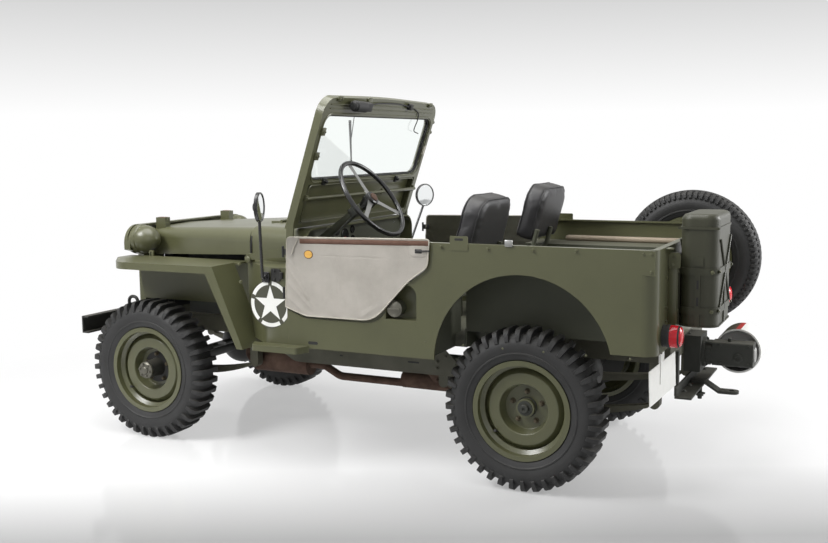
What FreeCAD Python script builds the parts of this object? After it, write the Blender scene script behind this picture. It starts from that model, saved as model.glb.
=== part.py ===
import FreeCAD, Part
import math
import os
import Sketcher
from FreeCAD import Placement, Rotation, Vector

# Open army 4x4 car with folding windscreen, canvas half doors and a belt pulley at the tail.
# Millimetres. X points ahead, Y to the car's left, Z up, and the ground is Z = 0.
# Sketches measure X from the rear axle. Each sub-part is then set back by the same shift,
# so that the origin is on the ground under the middle of the car.

doc = FreeCAD.newDocument("army_car")
sheet = doc.addObject("Spreadsheet::Sheet", "Sizes")


class Size:
    """A size as its value and as the formula that gives it from the sheet."""

    def __init__(self, value, text):
        self.value = value
        self.text = text

    def __add__(self, other):
        return Size(self.value + number(other), "(%s + %s)" % (self.text, formula(other)))

    def __sub__(self, other):
        return Size(self.value - number(other), "(%s - %s)" % (self.text, formula(other)))

    def __mul__(self, other):
        return Size(self.value * number(other), "(%s * %s)" % (self.text, formula(other)))

    def __truediv__(self, other):
        return Size(self.value / number(other), "(%s / %s)" % (self.text, formula(other)))

    def __neg__(self):
        return Size(-self.value, "(0 - %s)" % self.text)

    __rmul__ = __mul__


def number(value):
    return value.value if isinstance(value, Size) else float(value)


def formula(value):
    return value.text if isinstance(value, Size) else repr(float(value))


class Dimensions:
    """The rows of the sheet, as attributes."""


d = Dimensions()


def rows(table):
    """Put named sizes in the sheet. A size that follows others is given as a sum of theirs."""
    for alias, value in table:
        line = len(vars(d)) + 1
        text = "=" + value.text.replace("Sizes.", "") if isinstance(value, Size) else str(value)
        sheet.set("A%d" % line, alias)
        sheet.set("B%d" % line, text)
        sheet.setAlias("B%d" % line, alias)
        setattr(d, alias, Size(number(value), "Sizes." + alias))


# Main sizes of the whole car, which the stations at its ends, sides and top follow
OVERALL_LENGTH = 3338
OVERALL_WIDTH = 1880
OVERALL_HEIGHT = 1739
WHEEL_BASE = 2034
rows([
    ("overall_length", OVERALL_LENGTH),
    ("overall_width", OVERALL_WIDTH),
    ("overall_height", OVERALL_HEIGHT),
    ("pulley_behind", 781),
    ("pulley_radius", 102),
])

# Stance and wheels
rows([
    ("wheel_base", WHEEL_BASE),
    ("half_tread", 613),
    ("tyre_radius", 358),
    ("tyre_half_width", 80),
    ("tread_half_width", 62),
    ("shoulder_radius", 338),
    ("bulge_radius", 292),
    ("rim_flange_radius", 220),
    ("rim_seat_radius", 203),
    ("rim_well_radius", 186),
    ("rim_half_width", 66),
    ("rim_sheet", 5),
    ("bead_width", 26),
    ("well_half_width", 22),
    ("disc_crest_radius", 152),
    ("disc_crest_out", 24),
    ("disc_recess_radius", 104),
    ("disc_seat_in", 28),
    ("disc_sheet", 6),
    ("hub_hole_radius", 42),
    ("spindle_radius", 22),
    ("drum_radius", 142),
    ("drum_depth", 22),
    ("front_hub_radius", 41),
    ("front_hub_out", 64),
    ("drive_flange_radius", 36),
    ("drive_flange_thick", 16),
    ("rear_hub_radius", 41),
    ("rear_hub_out", 8),
])

# Chassis frame and axles
rows([
    ("rail_outer", 371),
    ("rail_width", 46),
    ("rail_height", 84),
    ("rail_middle_bottom", 402),
    ("rail_front_bottom", 524),
    ("rail_rear_bottom", 548),
    ("rail_rise_start", 1330),
    ("rail_rise_end", 1540),
    ("rail_dip_start", 430),
    ("rail_dip_end", 250),
    ("bumper_depth", 42),
    ("bumper_front", d.overall_length - d.pulley_behind - d.pulley_radius),
    ("rail_rear", 566),
    ("cross_width", 60),
    ("cross_height", 70),
    ("gearbox_cross", 900),
    ("mount_rear", 440),
    ("mount_middle", 620),
    ("mount_front", 1180),
    ("mount_radius", 20),
    ("bumper_bottom", 522),
    ("bumper_height", 90),
    ("bumper_half", 682),
    ("bumper_sheet", 8),
    ("hook_across", 340),
    ("hook_bar_radius", 9),
    ("hook_radius", 30),
    ("axle_tube_radius", 38),
    ("axle_case_radius", 122),
    ("axle_case_half", 105),
    ("axle_case_across", 170),
    ("axle_ball_radius", 42),
    ("brake_plate_radius", 140),
    ("brake_plate_thick", 6),
    ("rear_axle_half", 546),
    ("kingpin_across", 490),
    ("kingpin_radius", 28),
    ("kingpin_tall", 18),
    ("knuckle_radius", 88),
    ("knuckle_plate_out", 538),
    ("knuckle_plate_thick", 10),
    ("steer_arm_back", 160),
    ("steer_arm_height", 403),
    ("steer_arm_across", 440),
    ("steer_arm_thick", 16),
    ("tie_rod_radius", 12),
    ("tie_end_tall", 18),
    ("spring_width", 45),
    ("spring_front_outer", 345),
    ("spring_front_half", 385),
    ("spring_front_back", 50),
    ("spring_rear_half", 500),
    ("spring_sag", 50),
    ("spring_thick", 36),
    ("spring_eye_radius", 24),
])

rows([
    ("rail_front", d.bumper_front - d.bumper_depth),
])

# Tub, cowl and front sheet metal
rows([
    ("tub_half", 745),
    ("sheet", 8),
    ("rail_top", 1076),
    ("sill_bottom", 565),
    ("floor_top", 583),
    ("tail_bottom", 652),
    ("tub_rear", 585),
    ("tub_front", 1120),
    ("tail_corner_radius", 60),
    ("rail_lip", 28),
    ("arch_radius", 395),
    ("arch_behind", 20),
    ("arch_height", 560),
    ("door_cut_rear", 402),
    ("door_cut_low", 704),
    ("door_cut_corner", 90),
    ("lower_corner_radius", 60),
    ("wheelhouse_inner", 482),
    ("wheelhouse_top", 963),
    ("wheelhouse_front", 395),
    ("seat_riser", 330),
    ("cargo_floor", 660),
    ("cowl_front", 1490),
    ("cowl_side_top", 932),
    ("cowl_top", 1098),
    ("cowl_dome_rear_half", 578),
    ("cowl_dome_front_half", 500),
    ("cowl_round", 72),
    ("cowl_side_start", 1240),
    ("cowl_nose_radius", 190),
    ("toe_front", 1478),
    ("toe_back", 1290),
    ("toe_height", 800),
    ("hood_front", 2260),
    ("hood_rear_gap", 6),
    ("hood_rear_half", 500),
    ("hood_front_half", 326),
    ("hood_rear_bottom", 957),
    ("hood_front_bottom", 915),
    ("hood_front_top", 1068),
    ("hood_round", 70),
    ("hood_front_round", 52),
    ("hood_crown", 10),
    ("hood_sheet", 6),
    ("hood_hinge_radius", 7),
    ("hood_hinge_across", 200),
    ("hood_hinge_long", 60),
    ("rest_block_at", 2212),
    ("rest_block_across", 290),
    ("rest_block_length", 62),
    ("rest_block_width", 42),
    ("grille_front", 2306),
    ("grille_depth", 40),
    ("grille_half", 500),
    ("grille_low_half", 392),
    ("grille_top", 1082),
    ("grille_bottom", 618),
    ("grille_corner", 96),
    ("grille_sheet", 8),
    ("slot_count", 9),
    ("slot_width", 24),
    ("slot_height", 300),
    ("slot_pitch", 44),
    ("slot_bottom", 700),
    ("radiator_half", 225),
    ("radiator_thick", 60),
    ("lamp_across", 420),
    ("lamp_height", 1004),
    ("lamp_back", 2140),
    ("lamp_radius", 80),
    ("lamp_hole_radius", 67),
    ("fender_top", 920),
    ("fender_sheet", 8),
    ("fender_lip", 36),
    ("fender_bend", 1556),
    ("fender_foot", 1383),
    ("fender_foot_height", 528),
    ("fender_front", 2300),
    ("fender_tip", 2150),
    ("fender_front_corner", 110),
    ("fender_inner", 450),
    ("fender_leg_inner", 560),
    ("apron_bottom", 694),
    ("apron_front", 2250),
])

# Windscreen, doors and mirrors
rows([
    ("screen_pivot_ahead", 1433),
    ("screen_pivot_height", 957),
    ("screen_base_ahead", 1214),
    ("screen_base_height", 1100),
    ("screen_lean_angle", 18.68),
    ("screen_top", d.overall_height),
    ("screen_half", 615),
    ("screen_leg_width", 40),
    ("screen_leg_depth", 40),
    ("screen_corner", 85),
    ("screen_crown", 14),
    ("screen_sill", 118),
    ("glass_bottom_up", 256),
    ("glass_top_down", 82),
    ("glass_corner", 55),
    ("glass_thick", 6),
    ("panel_sheet", 5),
    ("screen_arm_thick", 14),
    ("screen_arm_depth", 34),
    ("screen_pin_radius", 10),
    ("door_out", 751),
    ("door_thick", 10),
    ("door_hinge_ahead", 1126),
    ("door_top_front", 1079),
    ("door_top_rear", 1091),
    ("door_rear", 387),
    ("door_bottom_front", 754),
    ("hinge_radius", 8),
    ("hinge_tall", 60),
    ("hinge_reach", 40),
    ("hinge_low", 820),
    ("hinge_top", 1010),
    ("mirror_radius", 67),
    ("mirror_thick", 12),
    ("mirror_arm_radius", 7),
    ("mirror_base_ahead", 1238),
    ("mirror_base_height", 885),
    ("mirror_head_ahead", 1178),
    ("mirror_head_height", 1222),
    ("mirror_right_drop", 30),
    ("mirror_left_angle", 19),
    ("mirror_right_angle", 25),
    ("mirror_reach", d.overall_width / 2),
])

# Cabin
rows([
    ("column_hub_ahead", 864),
    ("column_hub_height", 1240),
    ("column_across", 380),
    ("column_tilt_angle", 36),
    ("column_radius", 22),
    ("column_length", 1010),
    ("steering_wheel_radius", 208),
    ("steering_rim_radius", 11),
    ("steering_hub_radius", 30),
    ("steering_hub_length", 46),
    ("spoke_radius", 7),
    ("dash_ahead", 1180),
    ("dash_low", 962),
    ("dash_sheet", 10),
    ("dash_corner", 40),
    ("driver_across", 321),
    ("passenger_across", 439),
    ("passenger_back", 28),
    ("passenger_lift", 20),
    ("seat_width", 430),
    ("seat_front", 770),
    ("seat_back", 405),
    ("seat_top", 905),
    ("cushion_thick", 100),
    ("back_top", 1290),
    ("back_thick", 100),
    ("back_corner", 125),
    ("back_front", 400),
    ("back_lean_angle", 15),
    ("seat_tube_radius", 12),
    ("tank_height", 190),
    ("gear_lever_ahead", 1130),
    ("gear_lever_tall", 400),
    ("gear_lever_tilt", 60),
    ("drive_lever_ahead", 1000),
    ("drive_lever_across", 90),
    ("drive_lever_pitch", 50),
    ("drive_lever_tall", 230),
    ("drive_lever_tilt", 20),
    ("lever_boot_radius", 22),
    ("lever_boot_tall", 14),
    ("lever_radius", 8),
    ("lever_knob_radius", 17),
])

# Drive line, exhaust and underside
rows([
    ("engine_rear", 1530),
    ("engine_length", 600),
    ("engine_half", 190),
    ("engine_bottom", 470),
    ("engine_top", 960),
    ("gearbox_half", 130),
    ("gearbox_bottom", 395),
    ("gearbox_top", 560),
    ("shaft_radius", 24),
    ("shaft_joint_radius", 32),
    ("transfer_across", 170),
    ("transfer_width", 120),
    ("muffler_radius", 58),
    ("muffler_front", 1645),
    ("muffler_rear", 1315),
    ("muffler_across", 235),
    ("muffler_height", 362),
    ("pipe_radius", 20),
    ("pipe_low", 314),
    ("pipe_ahead", 1705),
    ("pipe_top", 560),
    ("tail_can_front", 775),
    ("tail_can_rear", 470),
    ("tail_can_radius", 42),
    ("step_front", 1312),
    ("step_rear", 1012),
    ("step_out", 812),
    ("step_height", 575),
    ("step_sheet", 8),
    ("step_skirt", 30),
])

# Tail
rows([
    ("spare_behind", 415),
    ("spare_across", 858),
    ("spare_height", 882),
    ("spare_hub_radius", 95),
    ("can_left", 500),
    ("can_right", 155),
    ("can_front", 619),
    ("can_rear", 772),
    ("can_bottom", 748),
    ("can_body_top", 1144),
    ("can_top", 1205),
    ("can_corner", 50),
    ("can_bead", 4),
    ("can_top_round", 24),
    ("rack_bar", 5),
    ("rack_width", 28),
    ("rack_top", 985),
    ("lamp_case_across", 620),
    ("lamp_case_height", 721),
    ("lamp_case_radius", 44),
    ("lamp_case_depth", 70),
    ("power_case_behind", 516),
    ("power_case_length", 124),
    ("power_case_half", 80),
    ("power_case_bottom", 462),
    ("power_case_height", 165),
    ("power_flange_radius", 68),
    ("power_flange_thick", 14),
    ("power_neck_radius", 55),
    ("power_arm_ahead", 684),
    ("power_arm_rear", 862),
    ("power_arm_half", 46),
    ("power_arm_height", 108),
    ("pulley_height", 545),
    ("pulley_width", 178),
    ("pulley_wall", 8),
    ("pulley_side", 58),
    ("pulley_hub_radius", 30),
    ("drawbar_behind", 578),
    ("drawbar_half", 330),
    ("drawbar_bottom", 392),
    ("drawbar_height", 50),
    ("drawbar_depth", 72),
    ("drawbar_sheet", 8),
    ("tongue_end", 800),
    ("tongue_bend", 714),
    ("tongue_drop", 40),
    ("tongue_half", 32),
    ("tongue_hole_radius", 14),
    ("hanger_sheet", 10),
    ("plate_width", 305),
    ("plate_height", 152),
    ("plate_thick", 3),
    ("plate_behind", 535),
    ("plate_across", 642),
    ("plate_top", 571),
    ("plate_turn_angle", 8),
    ("plate_roll_angle", 6),
    ("filler_ahead", 567),
    ("filler_height", 776),
    ("filler_radius", 34),
    ("filler_depth", 50),
    ("notch_rear", 457),
    ("notch_length", 152),
    ("notch_low", 730),
    ("notch_height", 154),
    ("notch_corner", 45),
])

# Clearances
rows([
    ("seat_clear", 0.3),
    ("run_clear", 5),
    ("overrun", 30),
])

# The origin is half way between the front bumper and the back of the belt pulley.
origin_ahead = (d.bumper_front - d.pulley_behind - d.pulley_radius) / 2
lean = math.radians(number(d.screen_lean_angle))
column_tilt = math.radians(number(d.column_tilt_angle))
back_lean = math.radians(number(d.back_lean_angle))
NODES = []


def bind(thing, **places):
    for prop, value in places.items():
        name = prop.replace("__", ".")
        thing.setExpression(name, formula(value))


def settle(thing, label):
    """Give a finished sub-part its name and set it back to the part's origin."""
    doc.recompute()
    thing.Label = label
    base = thing.Placement.Base
    thing.setExpression("Placement.Base.x", "%s - %s" % (base.x, origin_ahead.text))
    NODES.append(thing)
    return thing


def coded(label, shape):
    feature = doc.addObject("Part::Feature", label)
    feature.Shape = shape
    return feature


def placed(label, shape):
    """A sub-part whose shape is made by code, with its placement set after the shape."""
    return settle(coded(label, shape), label)


# Sketch helpers

def body(name):
    return doc.addObject("PartDesign::Body", name)


def plane_of(owner, role):
    for datum in owner.Origin.OriginFeatures:
        if datum.Role == role:
            return datum


def rounding(before, point, after, radius):
    """Where an arc that rounds a corner starts and ends, and its centre."""
    back = (before - point).normalize()
    ahead = (after - point).normalize()
    half = back.getAngle(ahead) / 2
    run = radius / math.tan(half)
    middle = (back + ahead).normalize()
    return point + back * run, point + ahead * run, point + middle * (radius / math.sin(half))


def draw(sketch, outline):
    """A closed outline of (across, up) corners, or (across, up, radius) where one is rounded."""
    count = len(outline)
    points = [Vector(number(corner[0]), number(corner[1]), 0) for corner in outline]
    starts, ends, centres = [], [], []
    for i, corner in enumerate(outline):
        start, end, centre = points[i], points[i], None
        if len(corner) > 2:
            start, end, centre = rounding(points[i - 1], points[i], points[(i + 1) % count], number(corner[2]))
        starts.append(start)
        ends.append(end)
        centres.append(centre)
    lines = []
    for i in range(count):
        lines.append(sketch.addGeometry(Part.LineSegment(ends[i], starts[(i + 1) % count]), False))
    for i, corner in enumerate(outline):
        before, after = lines[i - 1], lines[i]
        if centres[i] is None:
            sketch.addConstraint(Sketcher.Constraint("Coincident", before, 2, after, 1))
            pin(sketch, after, corner)
            continue
        centre = centres[i]
        first = math.atan2(starts[i].y - centre.y, starts[i].x - centre.x)
        last = math.atan2(ends[i].y - centre.y, ends[i].x - centre.x)
        turn = (points[i] - points[i - 1]).cross(points[(i + 1) % count] - points[i]).z
        circle = Part.Circle(centre, Vector(0, 0, 1), number(corner[2]))
        if turn > 0:
            arc = sketch.addGeometry(Part.ArcOfCircle(circle, first, last), False)
            near, far = 1, 2
        else:
            arc = sketch.addGeometry(Part.ArcOfCircle(circle, last, first), False)
            near, far = 2, 1
        mark = sketch.addGeometry(Part.Point(points[i]), True)
        sketch.addConstraint(Sketcher.Constraint("Tangent", before, 2, arc, near))
        sketch.addConstraint(Sketcher.Constraint("Tangent", arc, far, after, 1))
        row = sketch.addConstraint(Sketcher.Constraint("Radius", arc, number(corner[2])))
        sketch.setExpression("Constraints[%d]" % row, formula(corner[2]))
        sketch.addConstraint(Sketcher.Constraint("PointOnObject", mark, 1, before))
        sketch.addConstraint(Sketcher.Constraint("PointOnObject", mark, 1, after))
        pin(sketch, mark, corner)


def pin(sketch, thing, corner):
    """Hold a point of the sketch at its two distances from the sketch's origin."""
    for kind, value in (("DistanceX", corner[0]), ("DistanceY", corner[1])):
        row = sketch.addConstraint(Sketcher.Constraint(kind, -1, 1, thing, 1, number(value)))
        sketch.setExpression("Constraints[%d]" % row, formula(value))


def ring(sketch, across, up, radius):
    """A full circle."""
    centre = Vector(number(across), number(up), 0)
    circle = sketch.addGeometry(Part.Circle(centre, Vector(0, 0, 1), number(radius)), False)
    for kind, value in (("DistanceX", across), ("DistanceY", up)):
        row = sketch.addConstraint(Sketcher.Constraint(kind, -1, 1, circle, 3, number(value)))
        sketch.setExpression("Constraints[%d]" % row, formula(value))
    row = sketch.addConstraint(Sketcher.Constraint("Radius", circle, number(radius)))
    sketch.setExpression("Constraints[%d]" % row, formula(radius))


def sketch_on(owner, role, height=None):
    """A sketch on one of the body's own planes, lifted along the plane's normal."""
    sketch = owner.newObject("Sketcher::SketchObject", owner.Name + "_sketch")
    sketch.AttachmentSupport = (plane_of(owner, role), [""])
    sketch.MapMode = "FlatFace"
    if height is not None:
        lift = -height if role == "XZ_Plane" else height
        sketch.setExpression("AttachmentOffset.Base.z", formula(lift))
    return sketch


def extrude(owner, role, low, high, outlines, rings=(), cut=False):
    """Pad or pocket outlines between two places along the normal of a plane."""
    side = role == "XZ_Plane"
    kind = "Pocket" if cut else "Pad"
    start = low if side == cut else high
    if not side and not cut:
        start = low
    sketch = sketch_on(owner, role, start)
    for outline in outlines:
        draw(sketch, outline)
    for across, up, radius in rings:
        ring(sketch, across, up, radius)
    before = owner.Shape.Volume if cut else 0
    feature = owner.newObject("PartDesign::" + kind, owner.Name + "_" + kind.lower())
    feature.Profile = sketch
    feature.setExpression("Length", formula(high - low))
    doc.recompute()
    if cut and owner.Shape.Volume >= before:
        raise ValueError("%s: a pocket cuts nothing" % owner.Name)
    return feature


def revolve(owner, outlines, cut=False):
    """Turn outlines of (along Y, radius) about the Y axis."""
    sketch = sketch_on(owner, "YZ_Plane")
    for outline in outlines:
        draw(sketch, outline)
    kind = "Groove" if cut else "Revolution"
    before = owner.Shape.Volume if cut else 0
    feature = owner.newObject("PartDesign::" + kind, owner.Name + "_turned")
    feature.Profile = sketch
    feature.ReferenceAxis = (sketch, ["H_Axis"])
    feature.Angle = 360
    doc.recompute()
    if cut and owner.Shape.Volume >= before:
        raise ValueError("%s: a groove cuts nothing" % owner.Name)
    return feature


def rectangle(left, low, right, top, radius=None):
    corners = [(left, low), (right, low), (right, top), (left, top)]
    if radius is None:
        return corners
    return [(across, up, radius) for across, up in corners]


# Primitive helpers

TURNS = {
    "x": Rotation(Vector(0, 1, 0), 90),
    "y": Rotation(Vector(1, 0, 0), -90),
    "z": Rotation(),
}


def block(name, low, high):
    """A box between two corners."""
    box = doc.addObject("Part::Box", name)
    bind(box, Length=high[0] - low[0], Width=high[1] - low[1], Height=high[2] - low[2])
    bind(box, Placement__Base__x=low[0], Placement__Base__y=low[1], Placement__Base__z=low[2])
    return box


def rod(name, axis, start, length, radius):
    """A cylinder from its start along X, Y or Z."""
    cylinder = doc.addObject("Part::Cylinder", name)
    cylinder.Placement = Placement(Vector(0, 0, 0), TURNS[axis])
    bind(cylinder, Radius=radius, Height=length)
    bind(cylinder, Placement__Base__x=start[0], Placement__Base__y=start[1], Placement__Base__z=start[2])
    return cylinder


def ball(name, centre, radius):
    sphere = doc.addObject("Part::Sphere", name)
    bind(sphere, Radius=radius)
    bind(sphere, Placement__Base__x=centre[0], Placement__Base__y=centre[1], Placement__Base__z=centre[2])
    return sphere


def join(name, pieces):
    fused = doc.addObject("Part::MultiFuse", name)
    fused.Shapes = pieces
    fused.Refine = True
    return fused


def carve(name, base, tools):
    tool = tools[0]
    if len(tools) > 1:
        tool = join(name + "_tools", tools)
    result = doc.addObject("Part::Cut", name)
    result.Base = base
    result.Tool = tool
    result.Refine = True
    return result


def group(label, pieces):
    """Like pieces of one body that don't touch, kept as one node."""
    together = doc.addObject("Part::Compound", label)
    together.Links = pieces
    return settle(together, label)


# Shapes made by code, for forms that neither a sketch nor a primitive gives

def point(ahead, across, up):
    return Vector(number(ahead), number(across), number(up))


def rounded_wire(corners, closed=True):
    """A wire through 3-D corners, each rounded by its radius or sharp where that is None."""
    count = len(corners)
    edges = []
    starts, ends, arcs = [], [], []
    for i, (place, radius) in enumerate(corners):
        inside = closed or 0 < i < count - 1
        if radius is None or not inside:
            starts.append(place)
            ends.append(place)
            arcs.append(None)
            continue
        before = corners[i - 1][0]
        after = corners[(i + 1) % count][0]
        start, end, centre = rounding(before, place, after, number(radius))
        halfway = centre + (place - centre).normalize() * number(radius)
        starts.append(start)
        ends.append(end)
        arcs.append(Part.Arc(start, halfway, end).toShape())
    for i in range(count):
        if arcs[i] is not None:
            edges.append(arcs[i])
        if i < count - 1 or closed:
            start, end = ends[i], starts[(i + 1) % count]
            edges.append(Part.LineSegment(start, end).toShape())
    return Part.Wire(Part.__sortEdges__(edges))


def tube(corners, radius):
    """A round bar along straight runs joined by tangent arcs."""
    path = rounded_wire(corners, closed=False)
    start = corners[0][0]
    heading = (corners[1][0] - start).normalize()
    profile = Part.Wire(Part.Circle(start, heading, number(radius)).toShape())
    return path.makePipeShell([profile], True, True)


def slab(corners, lift):
    """A flat outline swept along a straight vector."""
    return Part.Face(rounded_wire(corners)).extrude(lift)


def turned(shape, centre, axis, degrees):
    copy = shape.copy()
    copy.rotate(centre, axis, degrees)
    return copy


def column_solid(radius, length, start=0.0):
    """A cylinder down the steering column's line, from a distance below the wheel hub."""
    hub = point(d.column_hub_ahead, d.column_across, d.column_hub_height)
    heading = Vector(math.cos(column_tilt), 0, -math.sin(column_tilt))
    return Part.makeCylinder(radius, length - start, hub + heading * start, heading)


doc.recompute()


# Wheels: a pressed disc in a well-base rim, with the brake drum and the hub behind it

def wheel(label, ahead, across, up, side, hub_radius, hub_out, flanged, drum):
    """One wheel about its own Y axis; side is +1 on the left and -1 on the right."""
    flange = d.rim_half_width
    seat = d.rim_half_width - d.rim_sheet
    inner = seat - d.bead_width
    well = d.well_half_width
    sheet_in = d.rim_seat_radius - d.rim_sheet
    well_in = d.rim_well_radius - d.rim_sheet
    out = d.disc_crest_out
    thick = d.disc_sheet
    root = -d.disc_seat_in
    back = root - d.drum_depth
    bore = d.spindle_radius + d.seat_clear
    outline = [
        (-seat, d.rim_flange_radius), (-seat, d.rim_seat_radius), (-inner, d.rim_seat_radius),
        (-well, d.rim_well_radius), (well, d.rim_well_radius), (inner, d.rim_seat_radius),
        (seat, d.rim_seat_radius), (seat, d.rim_flange_radius), (flange, d.rim_flange_radius),
        (flange, sheet_in), (inner, sheet_in), (well, well_in),
        (root + out + thick, well_in), (out + thick, d.disc_crest_radius + thick, thick),
        (out + thick, d.disc_recess_radius + thick, thick),
        (root + thick, d.disc_recess_radius - thick, thick / 2), (root + thick, hub_radius),
        (hub_out, hub_radius),
    ]
    lip = hub_out
    if flanged:
        lip = hub_out + d.drive_flange_thick
        outline += [(hub_out, d.drive_flange_radius), (lip, d.drive_flange_radius)]
    if drum:
        outline += [
            (lip, lip * 0), (root + thick, lip * 0), (root + thick, bore), (back, bore), (back, hub_radius),
            (root - thick, hub_radius), (root - thick, d.drum_radius - thick), (back, d.drum_radius - thick),
            (back, d.drum_radius), (root, d.drum_radius),
        ]
    else:
        outline += [(lip, bore), (root, bore)]
    outline += [
        (root, d.disc_recess_radius), (out, d.disc_recess_radius + thick * 2, thick / 2),
        (out, d.disc_crest_radius, thick / 2), (root + out, well_in), (-well, well_in),
        (-inner, sheet_in), (-flange, sheet_in), (-flange, d.rim_flange_radius),
    ]
    hub = body(label)
    revolve(hub, [[(corner[0] * side,) + tuple(corner[1:]) for corner in outline]])
    bind(hub, Placement__Base__y=across, Placement__Base__z=up)
    doc.recompute()
    hub.Label = label
    hub.setExpression("Placement.Base.x", formula(ahead - origin_ahead))
    NODES.append(hub)


def tyre(label, ahead, across, up):
    """A solid tyre out to the tips of its tread bars, with its beads inside the rim flanges."""
    carcass = body(label)
    bead = d.rim_half_width - d.rim_sheet - d.seat_clear
    foot = d.rim_seat_radius + d.seat_clear
    outline = [
        (-bead, foot), (bead, foot), (bead, d.rim_flange_radius),
        (d.tyre_half_width, d.bulge_radius, d.tyre_half_width / 2),
        (d.tyre_half_width - d.rim_sheet, d.shoulder_radius),
        (d.tread_half_width, d.tyre_radius), (-d.tread_half_width, d.tyre_radius),
        (d.rim_sheet - d.tyre_half_width, d.shoulder_radius),
        (-d.tyre_half_width, d.bulge_radius, d.tyre_half_width / 2),
        (-bead, d.rim_flange_radius),
    ]
    revolve(carcass, [outline])
    bind(carcass, Placement__Base__y=across, Placement__Base__z=up)
    doc.recompute()
    carcass.Label = label
    carcass.setExpression("Placement.Base.x", formula(ahead - origin_ahead))
    NODES.append(carcass)


for end, ahead, radius, out, flanged in (
        ("front", d.wheel_base, d.front_hub_radius, d.front_hub_out, True),
        ("rear", d.wheel_base * 0, d.rear_hub_radius, d.rear_hub_out, False)):
    for name, side in (("left", 1), ("right", -1)):
        across = d.half_tread * side
        wheel("wheel_%s_%s" % (end, name), ahead, across, d.tyre_radius, side, radius, out, flanged, True)
        tyre("tyre_%s_%s" % (end, name), ahead, across, d.tyre_radius)
wheel("spare_wheel", -d.spare_behind, -d.spare_across, d.spare_height, -1, d.hub_hole_radius,
      d.disc_sheet - d.disc_seat_in + d.seat_clear, False, False)
tyre("spare_tyre", -d.spare_behind, -d.spare_across, d.spare_height)


# Chassis frame: two channel-size rails that rise over both axles, and three cross members

def frame_outline():
    """Side view of a rail."""
    middle_top = d.rail_middle_bottom + d.rail_height
    front_top = d.rail_front_bottom + d.rail_height
    rear_top = d.rail_rear_bottom + d.rail_height
    bend = d.rail_height
    return [
        (-d.rail_rear, d.rail_rear_bottom), (d.rail_dip_end, d.rail_rear_bottom, bend),
        (d.rail_dip_start, d.rail_middle_bottom, bend), (d.rail_rise_start, d.rail_middle_bottom, bend),
        (d.rail_rise_end, d.rail_front_bottom, bend), (d.rail_front, d.rail_front_bottom),
        (d.rail_front, front_top), (d.rail_rise_end, front_top, bend),
        (d.rail_rise_start, middle_top, bend), (d.rail_dip_start, middle_top, bend),
        (d.rail_dip_end, rear_top, bend), (-d.rail_rear, rear_top),
    ]


def chassis():
    frame = body("chassis_rails")
    inner = d.rail_outer - d.rail_width
    extrude(frame, "XZ_Plane", -d.rail_outer, d.rail_outer, [frame_outline()])
    gaps = [
        (-d.rail_rear + d.cross_width, d.gearbox_cross - d.cross_width / 2),
        (d.gearbox_cross + d.cross_width / 2, d.rail_front - d.cross_width),
    ]
    openings = [rectangle(low, -inner, high, inner) for low, high in gaps]
    extrude(frame, "XY_Plane", -d.overrun, d.cowl_top, openings, cut=True)
    pieces = [frame]
    cabin_top = d.floor_top - d.sheet - d.seat_clear
    places = [
        ("rear", -d.mount_rear, d.rail_rear_bottom, d.cargo_floor - d.sheet - d.seat_clear),
        ("middle", d.mount_middle, d.rail_middle_bottom, cabin_top),
        ("front", d.mount_front, d.rail_middle_bottom, cabin_top),
    ]
    middle = d.rail_outer - d.rail_width / 2
    for name, ahead, rail, top in places:
        for hand, side in (("left", 1), ("right", -1)):
            low = rail + d.rail_height / 2
            pieces.append(rod("body_mount_%s_%s" % (name, hand), "z", (ahead, middle * side, low), top - low,
                              d.mount_radius))
    settle(join("chassis_frame", pieces), "chassis_frame")


chassis()


# Front bumper: an open channel with two tow hooks on the frame's front end

def bumper():
    beam = body("front_bumper_beam")
    back = d.rail_front + d.seat_clear
    top = d.bumper_bottom + d.bumper_height
    skin = d.bumper_sheet
    channel = [
        (back, d.bumper_bottom), (d.bumper_front, d.bumper_bottom), (d.bumper_front, top), (back, top),
        (back, top - skin), (d.bumper_front - skin, top - skin), (d.bumper_front - skin, d.bumper_bottom + skin),
        (back, d.bumper_bottom + skin),
    ]
    extrude(beam, "XZ_Plane", -d.bumper_half, d.bumper_half, [channel])
    pieces = [beam]
    for name, side in (("left", 1), ("right", -1)):
        across = d.hook_across * side
        low = number(top)
        heel = number(back) + number(d.hook_bar_radius) * 2
        reach = number(d.hook_radius)
        run = [
            (Vector(heel, number(across), low - number(skin) / 2), None),
            (Vector(heel, number(across), low + reach * 2), d.hook_radius * 0.9),
            (Vector(heel - reach * 2, number(across), low + reach * 2), d.hook_radius * 0.9),
            (Vector(heel - reach * 2, number(across), low + reach * 0.7), None),
        ]
        pieces.append(coded("tow_hook_" + name, tube(run, d.hook_bar_radius)))
    settle(join("front_bumper", pieces), "front_bumper")


bumper()


# Axles: tubes into a round gear case, with closed balls in front and brake plates behind

def axle(label, ahead, half, facing, ends):
    height = d.tyre_radius
    case_across = -d.axle_case_across
    pieces = [rod(label + "_tube", "y", (ahead, -half, height), half * 2, d.axle_tube_radius)]
    case = ball(label + "_case", (ahead, case_across, height), d.axle_case_radius)
    pieces.append(case)
    reach = d.axle_case_radius * 1.5
    nose_start = ahead if facing > 0 else ahead - reach
    nose = rod(label + "_nose", "x", (nose_start, case_across, height), reach, d.axle_case_half / 2)
    pieces.append(nose)
    for name, side in (("left", 1), ("right", -1)):
        pieces += ends(name, side)
    settle(join(label, pieces), label)


def front_end(name, side):
    return [ball("axle_ball_" + name, (d.wheel_base, d.kingpin_across * side, d.tyre_radius), d.axle_ball_radius)]


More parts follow.
